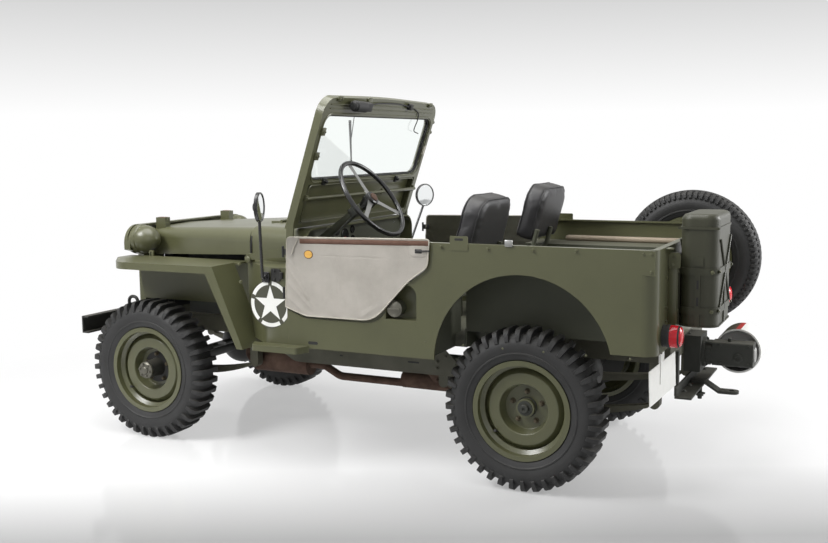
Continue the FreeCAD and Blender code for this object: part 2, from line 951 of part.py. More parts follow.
def rear_end(name, side):
    low = d.rear_axle_half if side > 0 else -d.rear_axle_half - d.brake_plate_thick
    start = (d.wheel_base * 0, low, d.tyre_radius)
    plate = rod("brake_plate_" + name, "y", start, d.brake_plate_thick, d.brake_plate_radius)
    end = d.half_tread - d.disc_seat_in
    low = d.rear_axle_half - d.cross_width if side > 0 else -end
    spindle = rod("rear_spindle_" + name, "y", (d.wheel_base * 0, low, d.tyre_radius),
                  end - d.rear_axle_half + d.cross_width, d.spindle_radius)
    return [plate, spindle]


axle("front_axle", d.wheel_base, d.kingpin_across, -1, front_end)
axle("rear_axle", d.wheel_base * 0, d.rear_axle_half, 1, rear_end)


# Steering knuckles: king pins above and below the ball, a plate outside it and the arm behind

def knuckle(name, side):
    ahead, height = d.wheel_base, d.tyre_radius
    label = "knuckle_" + name
    pin_gap = d.axle_ball_radius + d.seat_clear
    plate_low = d.knuckle_plate_out if side > 0 else -d.knuckle_plate_out - d.knuckle_plate_thick
    pieces = [rod(label + "_plate", "y", (ahead, plate_low, height), d.knuckle_plate_thick, d.knuckle_radius)]
    brake_low = d.knuckle_plate_out + d.knuckle_plate_thick
    if side < 0:
        brake_low = -brake_low - d.brake_plate_thick
    pieces.append(rod(label + "_brake", "y", (ahead, brake_low, height), d.brake_plate_thick, d.brake_plate_radius))
    for level, base in (("top", height + pin_gap), ("low", height - pin_gap - d.kingpin_tall)):
        pieces.append(rod(label + "_pin_" + level, "z", (ahead, d.kingpin_across * side, base),
                          d.kingpin_tall, d.kingpin_radius))
        near, far = d.kingpin_across, d.knuckle_plate_out + d.knuckle_plate_thick
        low, high = (near, far) if side > 0 else (-far, -near)
        pieces.append(block(label + "_ear_" + level, (ahead - d.kingpin_radius, low, base),
                            (ahead + d.kingpin_radius, high, base + d.kingpin_tall)))
    spindle_low = d.knuckle_plate_out
    spindle_end = d.half_tread - d.disc_seat_in
    start = spindle_low if side > 0 else -spindle_end
    pieces.append(rod(label + "_spindle", "y", (ahead, start, height), spindle_end - spindle_low, d.spindle_radius))
    eye = d.steer_arm_across
    back = ahead - d.steer_arm_back
    root = d.knuckle_plate_out
    wide = d.steer_arm_thick
    arm = body(label + "_arm")
    outline = [
        (ahead - d.knuckle_radius / 2, side * root), (ahead - d.knuckle_radius / 2, side * (root + wide / 2)),
        (ahead - d.knuckle_radius, side * (root + wide / 2)), (back - wide, side * (eye + wide)),
        (back - wide, side * (eye - wide)), (back + wide, side * (eye - wide)),
        (ahead - d.knuckle_radius, side * (root - wide)),
    ]
    extrude(arm, "XY_Plane", d.steer_arm_height - wide / 2, d.steer_arm_height + wide / 2, [outline])
    pieces.append(arm)
    settle(join(label, pieces), label)


knuckle("left", 1)
knuckle("right", -1)

arm_top = d.steer_arm_height + d.steer_arm_thick / 2 + d.seat_clear
tie_height = arm_top + d.tie_end_tall
tie_ahead = d.wheel_base - d.steer_arm_back
settle(join("tie_rod_parts", [
    rod("tie_rod_bar", "y", (tie_ahead, -d.steer_arm_across, tie_height), d.steer_arm_across * 2, d.tie_rod_radius),
    rod("tie_rod_end_left", "z", (tie_ahead, d.steer_arm_across, arm_top), d.tie_end_tall + d.tie_rod_radius,
        d.steer_arm_thick),
    rod("tie_rod_end_right", "z", (tie_ahead, -d.steer_arm_across, arm_top), d.tie_end_tall + d.tie_rod_radius,
        d.steer_arm_thick),
]), "tie_rod")


# Leaf springs below the axles, with their eyes hung from the frame

def spring(centre, axle_ahead, half, low, front_rail, rear_rail):
    """One spring: its leaves, the two eyes and the hanger that joins each eye to the frame."""
    sag = number(d.spring_sag)
    thick = number(d.spring_thick)
    width = number(d.spring_width)
    eye_radius = number(d.spring_eye_radius)
    rise = sag * ((axle_ahead - centre) / half) ** 2
    eye = number(d.tyre_radius - d.axle_tube_radius - d.seat_clear) + sag - rise

    def arc(reach, tip, drop):
        middle = Vector(centre, low, eye - sag - drop)
        return Part.Arc(Vector(centre - reach, low, eye - tip), middle, Vector(centre + reach, low, eye - tip)).toShape()

    upper = arc(half, 0, 0)
    lower = arc(half * 0.94, thick * 0.6, thick)
    closing = [
        Part.LineSegment(upper.Vertexes[0].Point, lower.Vertexes[0].Point).toShape(),
        Part.LineSegment(upper.Vertexes[-1].Point, lower.Vertexes[-1].Point).toShape(),
    ]
    wire = Part.Wire(Part.__sortEdges__([upper, lower] + closing))
    leaf = Part.Face(wire).extrude(Vector(0, width, 0))
    for reach, rail in ((half, front_rail), (-half, rear_rail)):
        centre_eye = Vector(centre + reach, low, eye)
        ring_shape = Part.makeCylinder(eye_radius, width, centre_eye, Vector(0, 1, 0))
        tall = number(rail) - eye - number(d.seat_clear)
        hanger = Part.makeBox(eye_radius * 2, width, tall, Vector(centre + reach - eye_radius, low, eye))
        leaf = leaf.fuse([ring_shape, hanger])
    return leaf


def leaf_springs():
    pieces = []
    base = number(d.wheel_base)
    front = (base - number(d.spring_front_back), base, number(d.spring_front_half), d.spring_front_outer,
             d.rail_front_bottom, d.rail_front_bottom)
    rear = (0.0, 0.0, number(d.spring_rear_half), d.rail_outer, d.rail_middle_bottom, d.rail_rear_bottom)
    for centre, axle_ahead, half, outer, front_rail, rear_rail in (front, rear):
        for side in (1, -1):
            low = number(outer - d.spring_width) if side > 0 else -number(outer)
            pieces.append(spring(centre, axle_ahead, half, low, front_rail, rear_rail))
    placed("leaf_springs", Part.makeCompound(pieces))


leaf_springs()


# Engine as one mass, gearbox with transfer case, and the two propeller shafts

engine = join("engine_parts", [
    block("engine_block", (d.engine_rear, -d.engine_half, d.engine_bottom + d.cross_height),
          (d.engine_rear + d.engine_length, d.engine_half, d.engine_top)),
    block("engine_sump", (d.engine_rear, -d.engine_half / 2, d.engine_bottom),
          (d.engine_rear + d.engine_length - d.cross_width, d.engine_half / 2, d.engine_bottom + d.cross_height)),
])

box_front = d.toe_front - d.cross_width
drive = join("gearbox_parts", [
    block("gearbox_case", (d.gearbox_cross + d.cross_width / 2 + d.seat_clear, -d.gearbox_half / 2, d.gearbox_bottom),
          (d.engine_rear - d.seat_clear, d.gearbox_half / 2, d.gearbox_top)),
    block("transfer_case", (d.gearbox_cross + d.cross_width / 2 + d.seat_clear,
                            -d.transfer_across - d.transfer_width / 2, d.gearbox_bottom - d.cross_height / 2),
          (d.gearbox_cross + d.cross_width * 4, d.gearbox_half / 2, d.gearbox_bottom + d.cross_height)),
])


def prop_shaft(label, start, end):
    """A shaft between two flat faces, with a joint at each end that just clears its face."""
    reach = Vector(number(d.shaft_joint_radius) + number(d.seat_clear), 0, 0)
    first = start + reach
    last = end - reach
    joints = [Part.makeSphere(number(d.shaft_joint_radius), place) for place in (first, last)]
    heading = last - first
    shaft = Part.makeCylinder(number(d.shaft_radius), heading.Length, first, heading)
    return coded(label, shaft.fuse(joints).removeSplitter())


nose_reach = d.axle_case_radius * 1.5
case_front = d.gearbox_cross + d.cross_width * 4
case_rear = d.gearbox_cross + d.cross_width / 2 + d.seat_clear
output_height = d.rail_middle_bottom - d.run_clear - d.shaft_joint_radius
group("power_train", [
    engine, drive,
    prop_shaft("front_prop_shaft", point(case_front, -d.transfer_across, d.gearbox_bottom),
               point(d.wheel_base - nose_reach, -d.axle_case_across, d.tyre_radius)),
    prop_shaft("rear_prop_shaft", point(nose_reach, -d.axle_case_across, d.tyre_radius),
               point(case_rear, -d.transfer_across, output_height)),
])


# Tub sides: one sheet that turns the rear corner, with the wheel arch, the door opening and a lip

def filler_recess(skin):
    """The notch behind the left door, closed inside by a pressed cup that holds the filler."""
    wall = d.sheet
    rear, low = d.notch_rear, d.notch_low
    front, top = rear + d.notch_length, low + d.notch_height
    floor_of_cup = d.tub_half - wall - d.filler_depth
    extrude(skin, "XZ_Plane", floor_of_cup - wall, d.tub_half - wall,
            [rectangle(rear - wall, low - wall, front + wall, top + wall)])
    notch = [(rear, low), (front, low), (front, top), (rear, top, d.notch_corner)]
    extrude(skin, "XZ_Plane", floor_of_cup, d.tub_half + d.overrun, [notch], cut=True)


def tub_side(name, side):
    label = "tub_side_" + name
    skin = body(label)
    outer, wall = d.tub_half, d.sheet
    rear = -d.tub_rear
    corner = d.tail_corner_radius
    end = outer - corner * 1.6
    strip = [
        (d.tub_front, side * outer), (rear, side * outer, corner), (rear, side * end),
        (rear + wall, side * end), (rear + wall, side * (outer - wall), corner - wall),
        (d.tub_front, side * (outer - wall)),
    ]
    extrude(skin, "XY_Plane", d.sill_bottom, d.rail_top, [strip])
    lip = [
        (d.door_cut_rear, side * (outer - wall / 2)), (rear + wall / 2, side * (outer - wall / 2), corner - wall / 2),
        (rear + wall / 2, side * end), (rear + d.rail_lip, side * end),
        (rear + d.rail_lip, side * (outer - d.rail_lip), corner / 2), (d.door_cut_rear, side * (outer - d.rail_lip)),
    ]
    extrude(skin, "XY_Plane", d.rail_top - wall, d.rail_top, [lip])
    low, high = -outer - d.overrun, outer + d.overrun
    arch_front = d.arch_radius - d.arch_behind
    depth = (outer - d.rail_lip) * side
    near, far = (depth, high) if side > 0 else (low, depth)
    opening_front = d.tub_front + d.overrun
    cut_rear = d.door_cut_rear
    dip = d.door_cut_low
    fall = d.rail_top - dip
    run = d.door_cut_corner
    opening = [
        (cut_rear, d.rail_top + d.overrun), (cut_rear, d.rail_top - fall * 0.30, run / 2),
        (cut_rear + run * 1.1, dip + fall * 0.50, run), (cut_rear + run * 2.8, dip, run * 1.4),
        (d.tub_front - run, dip, run), (opening_front, dip + run / 2), (opening_front, d.rail_top + d.overrun),
    ]
    extrude(skin, "XZ_Plane", near, far, [opening], cut=True)
    extrude(skin, "XZ_Plane", near, far, [], rings=[(-d.arch_behind, d.arch_height, d.arch_radius)], cut=True)
    reach = d.tub_half * side
    hollow_near, hollow_far = (reach - corner * 2, high) if side > 0 else (low, reach + corner * 2)
    if side > 0:
        filler_recess(skin)
    under = [
        (arch_front - wall, d.sill_bottom - d.overrun), (arch_front - wall, d.arch_height),
        (-d.arch_behind - d.arch_radius + corner, d.tail_bottom, corner / 3), (rear - d.overrun, d.tail_bottom),
        (rear - d.overrun, d.sill_bottom - d.overrun),
    ]
    extrude(skin, "XZ_Plane", hollow_near, hollow_far, [under], cut=True)
    settle(skin, label)


tub_side("left", 1)
tub_side("right", -1)


# Tail panel between the rear corners

def tail_panel():
    panel = body("tail_panel")
    half = d.tub_half - d.tail_corner_radius * 1.6 - d.seat_clear
    rear, wall = -d.tub_rear, d.sheet
    extrude(panel, "YZ_Plane", rear, rear + wall, [rectangle(-half, d.tail_bottom, half, d.rail_top)])
    extrude(panel, "YZ_Plane", rear + wall, rear + d.rail_lip,
            [rectangle(-half, d.rail_top - wall, half, d.rail_top)])
    settle(panel, "tail_panel")


tail_panel()


# Wheelhouses: inner walls and bench tops over the rear wheels

def wheelhouse(name, side):
    label = "wheelhouse_" + name
    box = body(label)
    inner = d.wheelhouse_inner
    outer = d.tub_half - d.sheet - d.seat_clear
    rear = -d.tub_rear + d.sheet + d.seat_clear
    front = d.wheelhouse_front
    wall = d.sheet
    corner = d.tail_corner_radius
    top = [
        (rear, side * inner), (front, side * inner), (front, side * outer), (rear + corner, side * outer),
        (rear, side * (outer - corner)),
    ]
    extrude(box, "XY_Plane", d.wheelhouse_top - wall, d.wheelhouse_top, [top])
    low, high = (inner, inner + wall) if side > 0 else (-inner - wall, -inner)
    wall_outline = [
        (rear, d.cargo_floor - d.sheet), (d.seat_riser, d.cargo_floor - d.sheet),
        (d.seat_riser, d.wheelhouse_top - wall), (rear, d.wheelhouse_top - wall),
    ]
    extrude(box, "XZ_Plane", low, high, [wall_outline])
    low, high = (inner, outer) if side > 0 else (-outer, -inner)
    cheek = rectangle(low, d.floor_top + d.seat_clear, high, d.wheelhouse_top - wall)
    extrude(box, "YZ_Plane", front - wall, front, [cheek])
    return box


group("wheelhouses", [wheelhouse("left", 1), wheelhouse("right", -1)])


# Floor: cabin floor, toe board up to the firewall, seat riser and the higher cargo floor

def floor():
    pan = body("floor_sheet")
    wall = d.sheet
    half = d.tub_half - d.sheet - d.seat_clear
    cabin = [
        (d.seat_riser, d.floor_top - wall), (d.toe_back, d.floor_top - wall),
        (d.toe_front - d.seat_clear, d.toe_height - wall), (d.toe_front - d.seat_clear, d.toe_height),
        (d.toe_back, d.floor_top), (d.seat_riser + wall, d.floor_top), (d.seat_riser + wall, d.cargo_floor),
        (d.seat_riser, d.cargo_floor),
    ]
    narrow = d.wheelhouse_inner - d.seat_clear
    extrude(pan, "XZ_Plane", -narrow, narrow, [cabin])
    rear = -d.tub_rear + d.sheet + d.seat_clear
    cargo = rectangle(rear, d.cargo_floor - wall, d.seat_riser, d.cargo_floor)
    extrude(pan, "XZ_Plane", -narrow, narrow, [cargo])
    for low, high in ((narrow, half), (-half, -narrow)):
        turn = d.cowl_nose_radius * 0.36
        tuck = d.cowl_nose_radius * 0.08
        wide_low = low if low is narrow else low + tuck
        wide_high = high - tuck if low is narrow else high
        wing = [
            (d.wheelhouse_front - wall, low), (d.cowl_side_start - turn, low), (d.cowl_side_start - wall, wide_low),
            (d.cowl_side_start - wall, wide_high), (d.cowl_side_start - turn, high), (d.wheelhouse_front - wall, high),
        ]
        extrude(pan, "XY_Plane", d.floor_top - wall, d.floor_top, [wing])
    doc.recompute()
    hole = coded("floor_hole", column_solid(number(d.column_radius) + number(d.seat_clear), number(d.column_length)))
    settle(carve("floor_pan", pan, [hole]), "floor")


floor()


# Cowl: the body sides turn in to the firewall, and a narrower dome carries the windscreen

def cowl_base(inset, low, high, back):
    """The solid between the body sides where they turn in to the firewall."""
    front = number(d.cowl_front) - inset
    half = number(d.tub_half) - inset
    nose = number(d.cowl_nose_radius)
    reach = number(d.cowl_dome_front_half) + nose * 0.2 - inset
    bend = number(d.cowl_side_start)
    corners = [
        (Vector(back, half, low), None), (Vector(bend, half, low), nose), (Vector(front, reach, low), nose / 4),
        (Vector(front, -reach, low), nose / 4), (Vector(bend, -half, low), nose), (Vector(back, -half, low), None),
    ]
    return slab(corners, Vector(0, 0, high - low))


def cowl():
    wall = number(d.sheet)
    start = number(d.tub_front) + number(d.seat_clear)
    front = number(d.cowl_front)
    dome_front = number(d.cowl_dome_front_half)
    dome_rear = number(d.cowl_dome_rear_half)
    over = number(d.overrun)

    def dome_wire(ahead, reach, inset):
        low = number(d.cowl_side_top) - 2 * wall
        top = number(d.cowl_top) - inset
        rounding_radius = number(d.cowl_round) - inset
        corners = [
            (Vector(ahead, reach - inset, low), None), (Vector(ahead, reach - inset, top), rounding_radius),
            (Vector(ahead, -reach + inset, top), rounding_radius), (Vector(ahead, -reach + inset, low), None),
        ]
        return rounded_wire(corners)

    low = number(d.sill_bottom)
    side_top = number(d.cowl_side_top)
    solid = cowl_base(0, low, side_top, start)
    solid = solid.fuse(Part.makeLoft([dome_wire(start, dome_rear, 0), dome_wire(front, dome_front, 0)], True))
    hollow = cowl_base(wall, low - over, side_top - wall, start - over)
    taper = (dome_rear - dome_front) / (front - start)
    hollow = hollow.fuse(Part.makeLoft([dome_wire(start - over, dome_rear + taper * over, wall),
                                        dome_wire(front - wall, dome_front + taper * wall, wall)], True))
    shell = solid.cut(hollow)
    foot_half = number(d.wheelhouse_inner)
    foot = Part.makeBox(over * 2, foot_half * 2, number(d.toe_height) - low + over,
                        Vector(front - over, -foot_half, low - over))
    hole = column_solid(number(d.column_radius) + number(d.seat_clear), number(d.column_length))
    return shell.cut([foot, hole]).removeSplitter()


cowl_shell = coded("cowl_shell", cowl())


# Dash panel under the windscreen

dash = body("dash_sheet_body")
dash_taper = (number(d.cowl_dome_rear_half) - number(d.cowl_dome_front_half)) / number(d.cowl_front - d.tub_front)
dash_half = d.cowl_dome_rear_half - (d.dash_ahead + d.dash_sheet - d.tub_front) * dash_taper - d.sheet - d.seat_clear * 3
dash_top = d.cowl_top - d.sheet - d.seat_clear
dash_outline = [
    (-dash_half, d.dash_low, d.dash_corner), (dash_half, d.dash_low, d.dash_corner),
    (dash_half, dash_top, d.cowl_round - d.sheet), (-dash_half, dash_top, d.cowl_round - d.sheet),
]
extrude(dash, "YZ_Plane", d.dash_ahead, d.dash_ahead + d.dash_sheet, [dash_outline])
doc.recompute()
dash_hole = coded("dash_hole", column_solid(number(d.column_radius) + number(d.seat_clear), number(d.column_length)))
settle(carve("dash_panel", dash, [dash_hole]), "dash_panel")


def screen_brackets():
    """Pivot pins of the windscreen on two cheeks that stand on the cowl's shoulders."""
    pieces = []
    inner = d.screen_half - d.screen_arm_thick * 3
    outer = d.screen_half + d.screen_arm_thick / 2
    root = d.screen_half - d.screen_arm_thick - d.run_clear
    deep = d.screen_arm_depth
    for name, side in (("left", 1), ("right", -1)):
        low = inner if side > 0 else -outer
        pieces.append(rod("screen_pin_" + name, "y", (d.screen_pivot_ahead, low, d.screen_pivot_height),
                          outer - inner, d.screen_pin_radius))
        cheek = inner if side > 0 else -root
        pieces.append(block("screen_cheek_" + name,
                            (d.screen_pivot_ahead - deep / 2, cheek, d.cowl_side_top - d.sheet / 2),
                            (d.screen_pivot_ahead + deep / 2, cheek + (root - inner), d.screen_pivot_height + deep / 2)))
    return pieces


settle(join("cowl_parts", [cowl_shell] + screen_brackets()), "cowl")


# Hood: a tapered, crowned shell with the two blocks that the folded windscreen rests on

def hood_section(ahead, half, low, top, radius, inset):
    crown = number(d.hood_crown)
    reach = number(half) - inset
    height = number(top) - inset
    rounding_radius = number(radius) - inset
    base = number(low)
    edge = height - crown
    corners = [
        (Vector(ahead, reach, base), None), (Vector(ahead, reach, edge), rounding_radius),
        (Vector(ahead, 0, height), rounding_radius * 12), (Vector(ahead, -reach, edge), rounding_radius),
        (Vector(ahead, -reach, base), None),
    ]
    return rounded_wire(corners)


def hood():
    """The front edge is rounded about the hinge, so that it swings clear of the grille."""
    rear = number(d.cowl_front) + number(d.hood_rear_gap)
    front = number(d.hood_front)
    over = number(d.overrun)
    thick = number(d.hood_sheet)
    slope = (number(d.hood_front_top) - number(d.cowl_top)) / (front - rear)

    def shell(inset, back, ahead):
        drop = over if inset else 0
        return Part.makeLoft([
            hood_section(back, d.hood_rear_half, number(d.hood_rear_bottom) - drop, d.cowl_top, d.hood_round, inset),
            hood_section(ahead, d.hood_front_half, number(d.hood_front_bottom) - drop, d.hood_front_top,
                         d.hood_front_round, inset),
        ], True)

    shape = shell(0, rear, front).cut(shell(thick, rear - thick / 2, front + thick / 2))
    barrel = number(d.hood_hinge_radius)
    top = number(d.cowl_top) + number(d.seat_clear)
    hinge_ahead = number(d.cowl_front) - barrel
    long = number(d.hood_hinge_long)
    for side in (1, -1):
        low = number(d.hood_hinge_across) * side - long / 2
        pin_barrel = Part.makeCylinder(barrel, long, Vector(hinge_ahead, low, top + barrel), Vector(0, 1, 0))
        bridge = Part.makeBox(rear + barrel - hinge_ahead, long, barrel, Vector(hinge_ahead, low, top))
        leaf_low = number(d.cowl_top) - number(d.hood_crown)
        leaf = Part.makeBox(long * 0.8, long, top + barrel - leaf_low, Vector(rear, low, leaf_low))
        shape = shape.fuse([pin_barrel, bridge, leaf])
    wide = number(d.tub_half)
    swing = math.hypot(front - hinge_ahead, number(d.hood_front_top) - top - barrel)
    shape = shape.common(Part.makeCylinder(swing, wide * 2, Vector(hinge_ahead, -wide, top + barrel), Vector(0, 1, 0)))
    at = number(d.rest_block_at)
    surface = number(d.cowl_top) + slope * (at - rear)
    rest = screen_rest_height() - number(d.run_clear)
    for side in (1, -1):
        low = Vector(at - number(d.rest_block_length) / 2,
                     number(d.rest_block_across) * side - number(d.rest_block_width) / 2,
                     surface - number(d.hood_crown) - thick)
        shape = shape.fuse(Part.makeBox(number(d.rest_block_length), number(d.rest_block_width), rest - low.z, low))
    return shape.removeSplitter()


def screen_rest_height():
    """Height of the windscreen's front face when it lies level, folded forward about its pivot."""
    run = number(d.screen_pivot_ahead) - number(d.screen_base_ahead)
    rise = number(d.screen_base_height) - number(d.screen_pivot_height)
    return number(d.screen_pivot_height) + run * math.cos(lean) - rise * math.sin(lean)


placed("hood", hood())


# Grille: a slotted plate with a folded edge in front of the radiator and the two head lamps

def grille():
    plate = body("grille")
    back = d.grille_front - d.grille_depth
    step = d.fender_top + d.seat_clear
    corner = d.grille_corner

    def outline(inset):
        wide = d.grille_half - inset
        slim = d.grille_low_half - inset
        return [
            (-slim, d.grille_bottom), (slim, d.grille_bottom), (slim, step, corner / 6), (wide, step + corner / 3),
            (wide, d.grille_top - inset, corner - inset), (-wide, d.grille_top - inset, corner - inset),
            (-wide, step + corner / 3), (-slim, step, corner / 6),
        ]

    extrude(plate, "YZ_Plane", back, d.grille_front, [outline(d.sheet * 0)])
    extrude(plate, "YZ_Plane", back, d.grille_front - d.grille_sheet, [outline(d.grille_sheet)[:]], cut=True)
    slots = []
    count = int(d.slot_count.value)
    for i in range(count):
        middle = d.slot_pitch * (i - (count - 1) / 2)
        slots.append(rectangle(middle - d.slot_width / 2, d.slot_bottom, middle + d.slot_width / 2,
                               d.slot_bottom + d.slot_height, d.slot_width * 0.45))
    lamps = [(d.lamp_across * side, d.lamp_height, d.lamp_hole_radius) for side in (1, -1)]
    extrude(plate, "YZ_Plane", d.grille_front - d.grille_sheet * 2, d.grille_front + d.overrun, slots,
            rings=lamps, cut=True)
    settle(plate, "grille")


grille()

radiator_back = d.grille_front - d.grille_depth - d.radiator_thick
support_low = d.rail_front_bottom + d.rail_height + d.seat_clear
settle(join("radiator_parts", [
    block("radiator_core", (radiator_back, -d.radiator_half, support_low),
          (d.grille_front - d.grille_depth - d.seat_clear, d.radiator_half,
           d.hood_front_top - d.hood_crown - d.hood_sheet - d.cross_width / 2)),
    block("radiator_support", (radiator_back, -d.rail_outer, support_low),
          (d.grille_front - d.grille_sheet - d.seat_clear, d.rail_outer, d.grille_bottom + d.grille_sheet)),
]), "radiator")


# Head lamps: deep bowls behind the grille plate, each with its rim

def head_lamps():
    pieces = []
    front = number(d.grille_front) - number(d.grille_sheet) - number(d.seat_clear)
    back = number(d.lamp_back)
    wide = number(d.lamp_radius)
    for side in (1, -1):
        centre = Vector(back, number(d.lamp_across) * side, number(d.lamp_height))
        reach = front - back
        rim_end = number(d.grille_front) - number(d.grille_depth) - number(d.seat_clear) - back
        heading = Vector(1, 0, 0)
        start = centre + heading * (reach * 0)
        up = Vector(0, 0, 1)
        profile = [
            Part.Arc(start, start + heading * (reach * 0.17) + up * (wide * 0.62),
                     start + heading * (reach * 0.62) + up * (wide * 0.94)).toShape(),
            Part.LineSegment(start + heading * (reach * 0.62) + up * (wide * 0.94),
                             start + heading * (reach * 0.66) + up * wide).toShape(),
            Part.LineSegment(start + heading * (reach * 0.66) + up * wide,
                             start + heading * rim_end + up * wide).toShape(),
            Part.LineSegment(start + heading * rim_end + up * wide,
                             start + heading * rim_end + up * (wide * 0.8)).toShape(),
            Part.LineSegment(start + heading * rim_end + up * (wide * 0.8),
                             start + heading * reach + up * (wide * 0.4)).toShape(),
            Part.LineSegment(start + heading * reach + up * (wide * 0.4), start + heading * reach).toShape(),
            Part.LineSegment(start + heading * reach, start).toShape(),
        ]
        face = Part.Face(Part.Wire(profile))
        pieces.append(face.revolve(centre, heading, 360))
    placed("head_lamps", Part.makeCompound(pieces))


head_lamps()


# Fenders: flat top, sloping leg, rolled lip and an inner apron

cowl_tool = coded("cowl_tool", cowl_base(-number(d.seat_clear), number(d.sill_bottom), number(d.cowl_side_top),
                                         number(d.tub_front)))


def fender(name, side):
    label = "fender_" + name
    wing = body(label + "_sheet")
    thick = d.fender_sheet
    outer, inner = d.tub_half, d.fender_inner
    top = d.fender_top
    leg_run = d.fender_bend - d.fender_foot
    leg_drop = top - d.fender_foot_height
    shelf = [
        (d.fender_bend, side * inner), (d.fender_front, side * inner),
        (d.fender_front, side * (inner + d.fender_front_corner), d.fender_front_corner / 2),
        (d.fender_tip, side * outer, d.fender_front_corner), (d.fender_bend, side * outer),
    ]
    extrude(wing, "XY_Plane", top - thick, top, [shelf])
    rim = [
        (d.fender_bend, side * (outer - thick)), (d.fender_bend, side * outer),
        (d.fender_tip, side * outer, d.fender_front_corner),
        (d.fender_front, side * (inner + d.fender_front_corner), d.fender_front_corner / 2),
        (d.fender_front, side * inner), (d.fender_front - thick, side * inner),
        (d.fender_front - thick, side * (inner + d.fender_front_corner - thick), d.fender_front_corner / 2 - thick),
        (d.fender_tip - thick / 2, side * (outer - thick), d.fender_front_corner - thick),
    ]
    extrude(wing, "XY_Plane", top - d.fender_lip, top - thick, [rim])
    near, far = (d.fender_leg_inner, outer) if side > 0 else (-outer, -d.fender_leg_inner)
    slant = thick * 1.1
    leg = [
        (d.fender_foot, d.fender_foot_height), (d.fender_foot + slant, d.fender_foot_height),
        (d.fender_bend + slant / 2, top - thick / 2), (d.fender_bend - slant / 2, top),
    ]
    extrude(wing, "XZ_Plane", near, far, [leg])
    near, far = (outer - thick, outer) if side > 0 else (-outer, -outer + thick)
    lip = [
        (d.fender_foot, d.fender_foot_height), (d.fender_foot + d.fender_lip, d.fender_foot_height),
        (d.fender_bend + d.fender_lip, top - d.fender_lip), (d.fender_bend + d.fender_lip, top), (d.fender_bend, top),
    ]
    extrude(wing, "XZ_Plane", near, far, [lip])
    near, far = (inner, inner + thick) if side > 0 else (-inner - thick, -inner)
    apron = [
        (d.fender_bend - leg_run * 0.15, d.apron_bottom), (d.apron_front - thick * 4, d.apron_bottom),
        (d.apron_front, top - thick), (d.fender_bend - leg_run * 0.15, top - thick),
    ]
    extrude(wing, "XZ_Plane", near, far, [apron])
    bridge = [
        (d.fender_bend - leg_run * 0.15, side * inner), (d.fender_bend + thick * 2, side * inner),
        (d.fender_bend + thick * 2, side * d.fender_leg_inner), (d.fender_bend - leg_run * 0.15, side * d.fender_leg_inner),
    ]
    extrude(wing, "XY_Plane", top - thick, top, [bridge])
    doc.recompute()
    settle(carve(label, wing, [cowl_tool]), label)


fender("left", 1)
fender("right", -1)


# Windscreen: a channel frame that leans back, with a pressed lower panel, and arms to its pivots

HEADER_BEND_SHARE = 16


def screen_frame():
    """Drawn upright in its own plane, then leaned back about its base line."""
    frame = body("windscreen_frame_panel")
    half = d.screen_half
    crown = d.screen_crown
    height = (d.screen_top - d.screen_base_height) * (1 / math.cos(lean)) - crown
    depth = d.screen_leg_depth
    leg = d.screen_leg_width
    corner = d.screen_corner
    outline = [
        (-half, -depth), (half, -depth), (half, height, corner), (crown * 0, height + crown, half * HEADER_BEND_SHARE),
        (-half, height, corner),
    ]
    extrude(frame, "YZ_Plane", -depth, depth * 0, [outline])
    window = rectangle(-half + leg, d.glass_bottom_up, half - leg, height - d.glass_top_down, d.glass_corner)
    extrude(frame, "YZ_Plane", -depth - d.overrun, d.overrun, [window], cut=True)
    panel = rectangle(-half + leg, leg, half - leg, d.glass_bottom_up - leg / 2, leg / 4)
    extrude(frame, "YZ_Plane", -depth, -d.panel_sheet, [panel], cut=True)
    return frame, height


def leaned(shape):
    """Lean a shape drawn upright at the origin back, and set it at the windscreen's base."""
    shape = turned(shape, Vector(0, 0, 0), Vector(0, 1, 0), -math.degrees(lean))
    shape.translate(point(d.screen_base_ahead, 0, d.screen_base_height))
    return shape


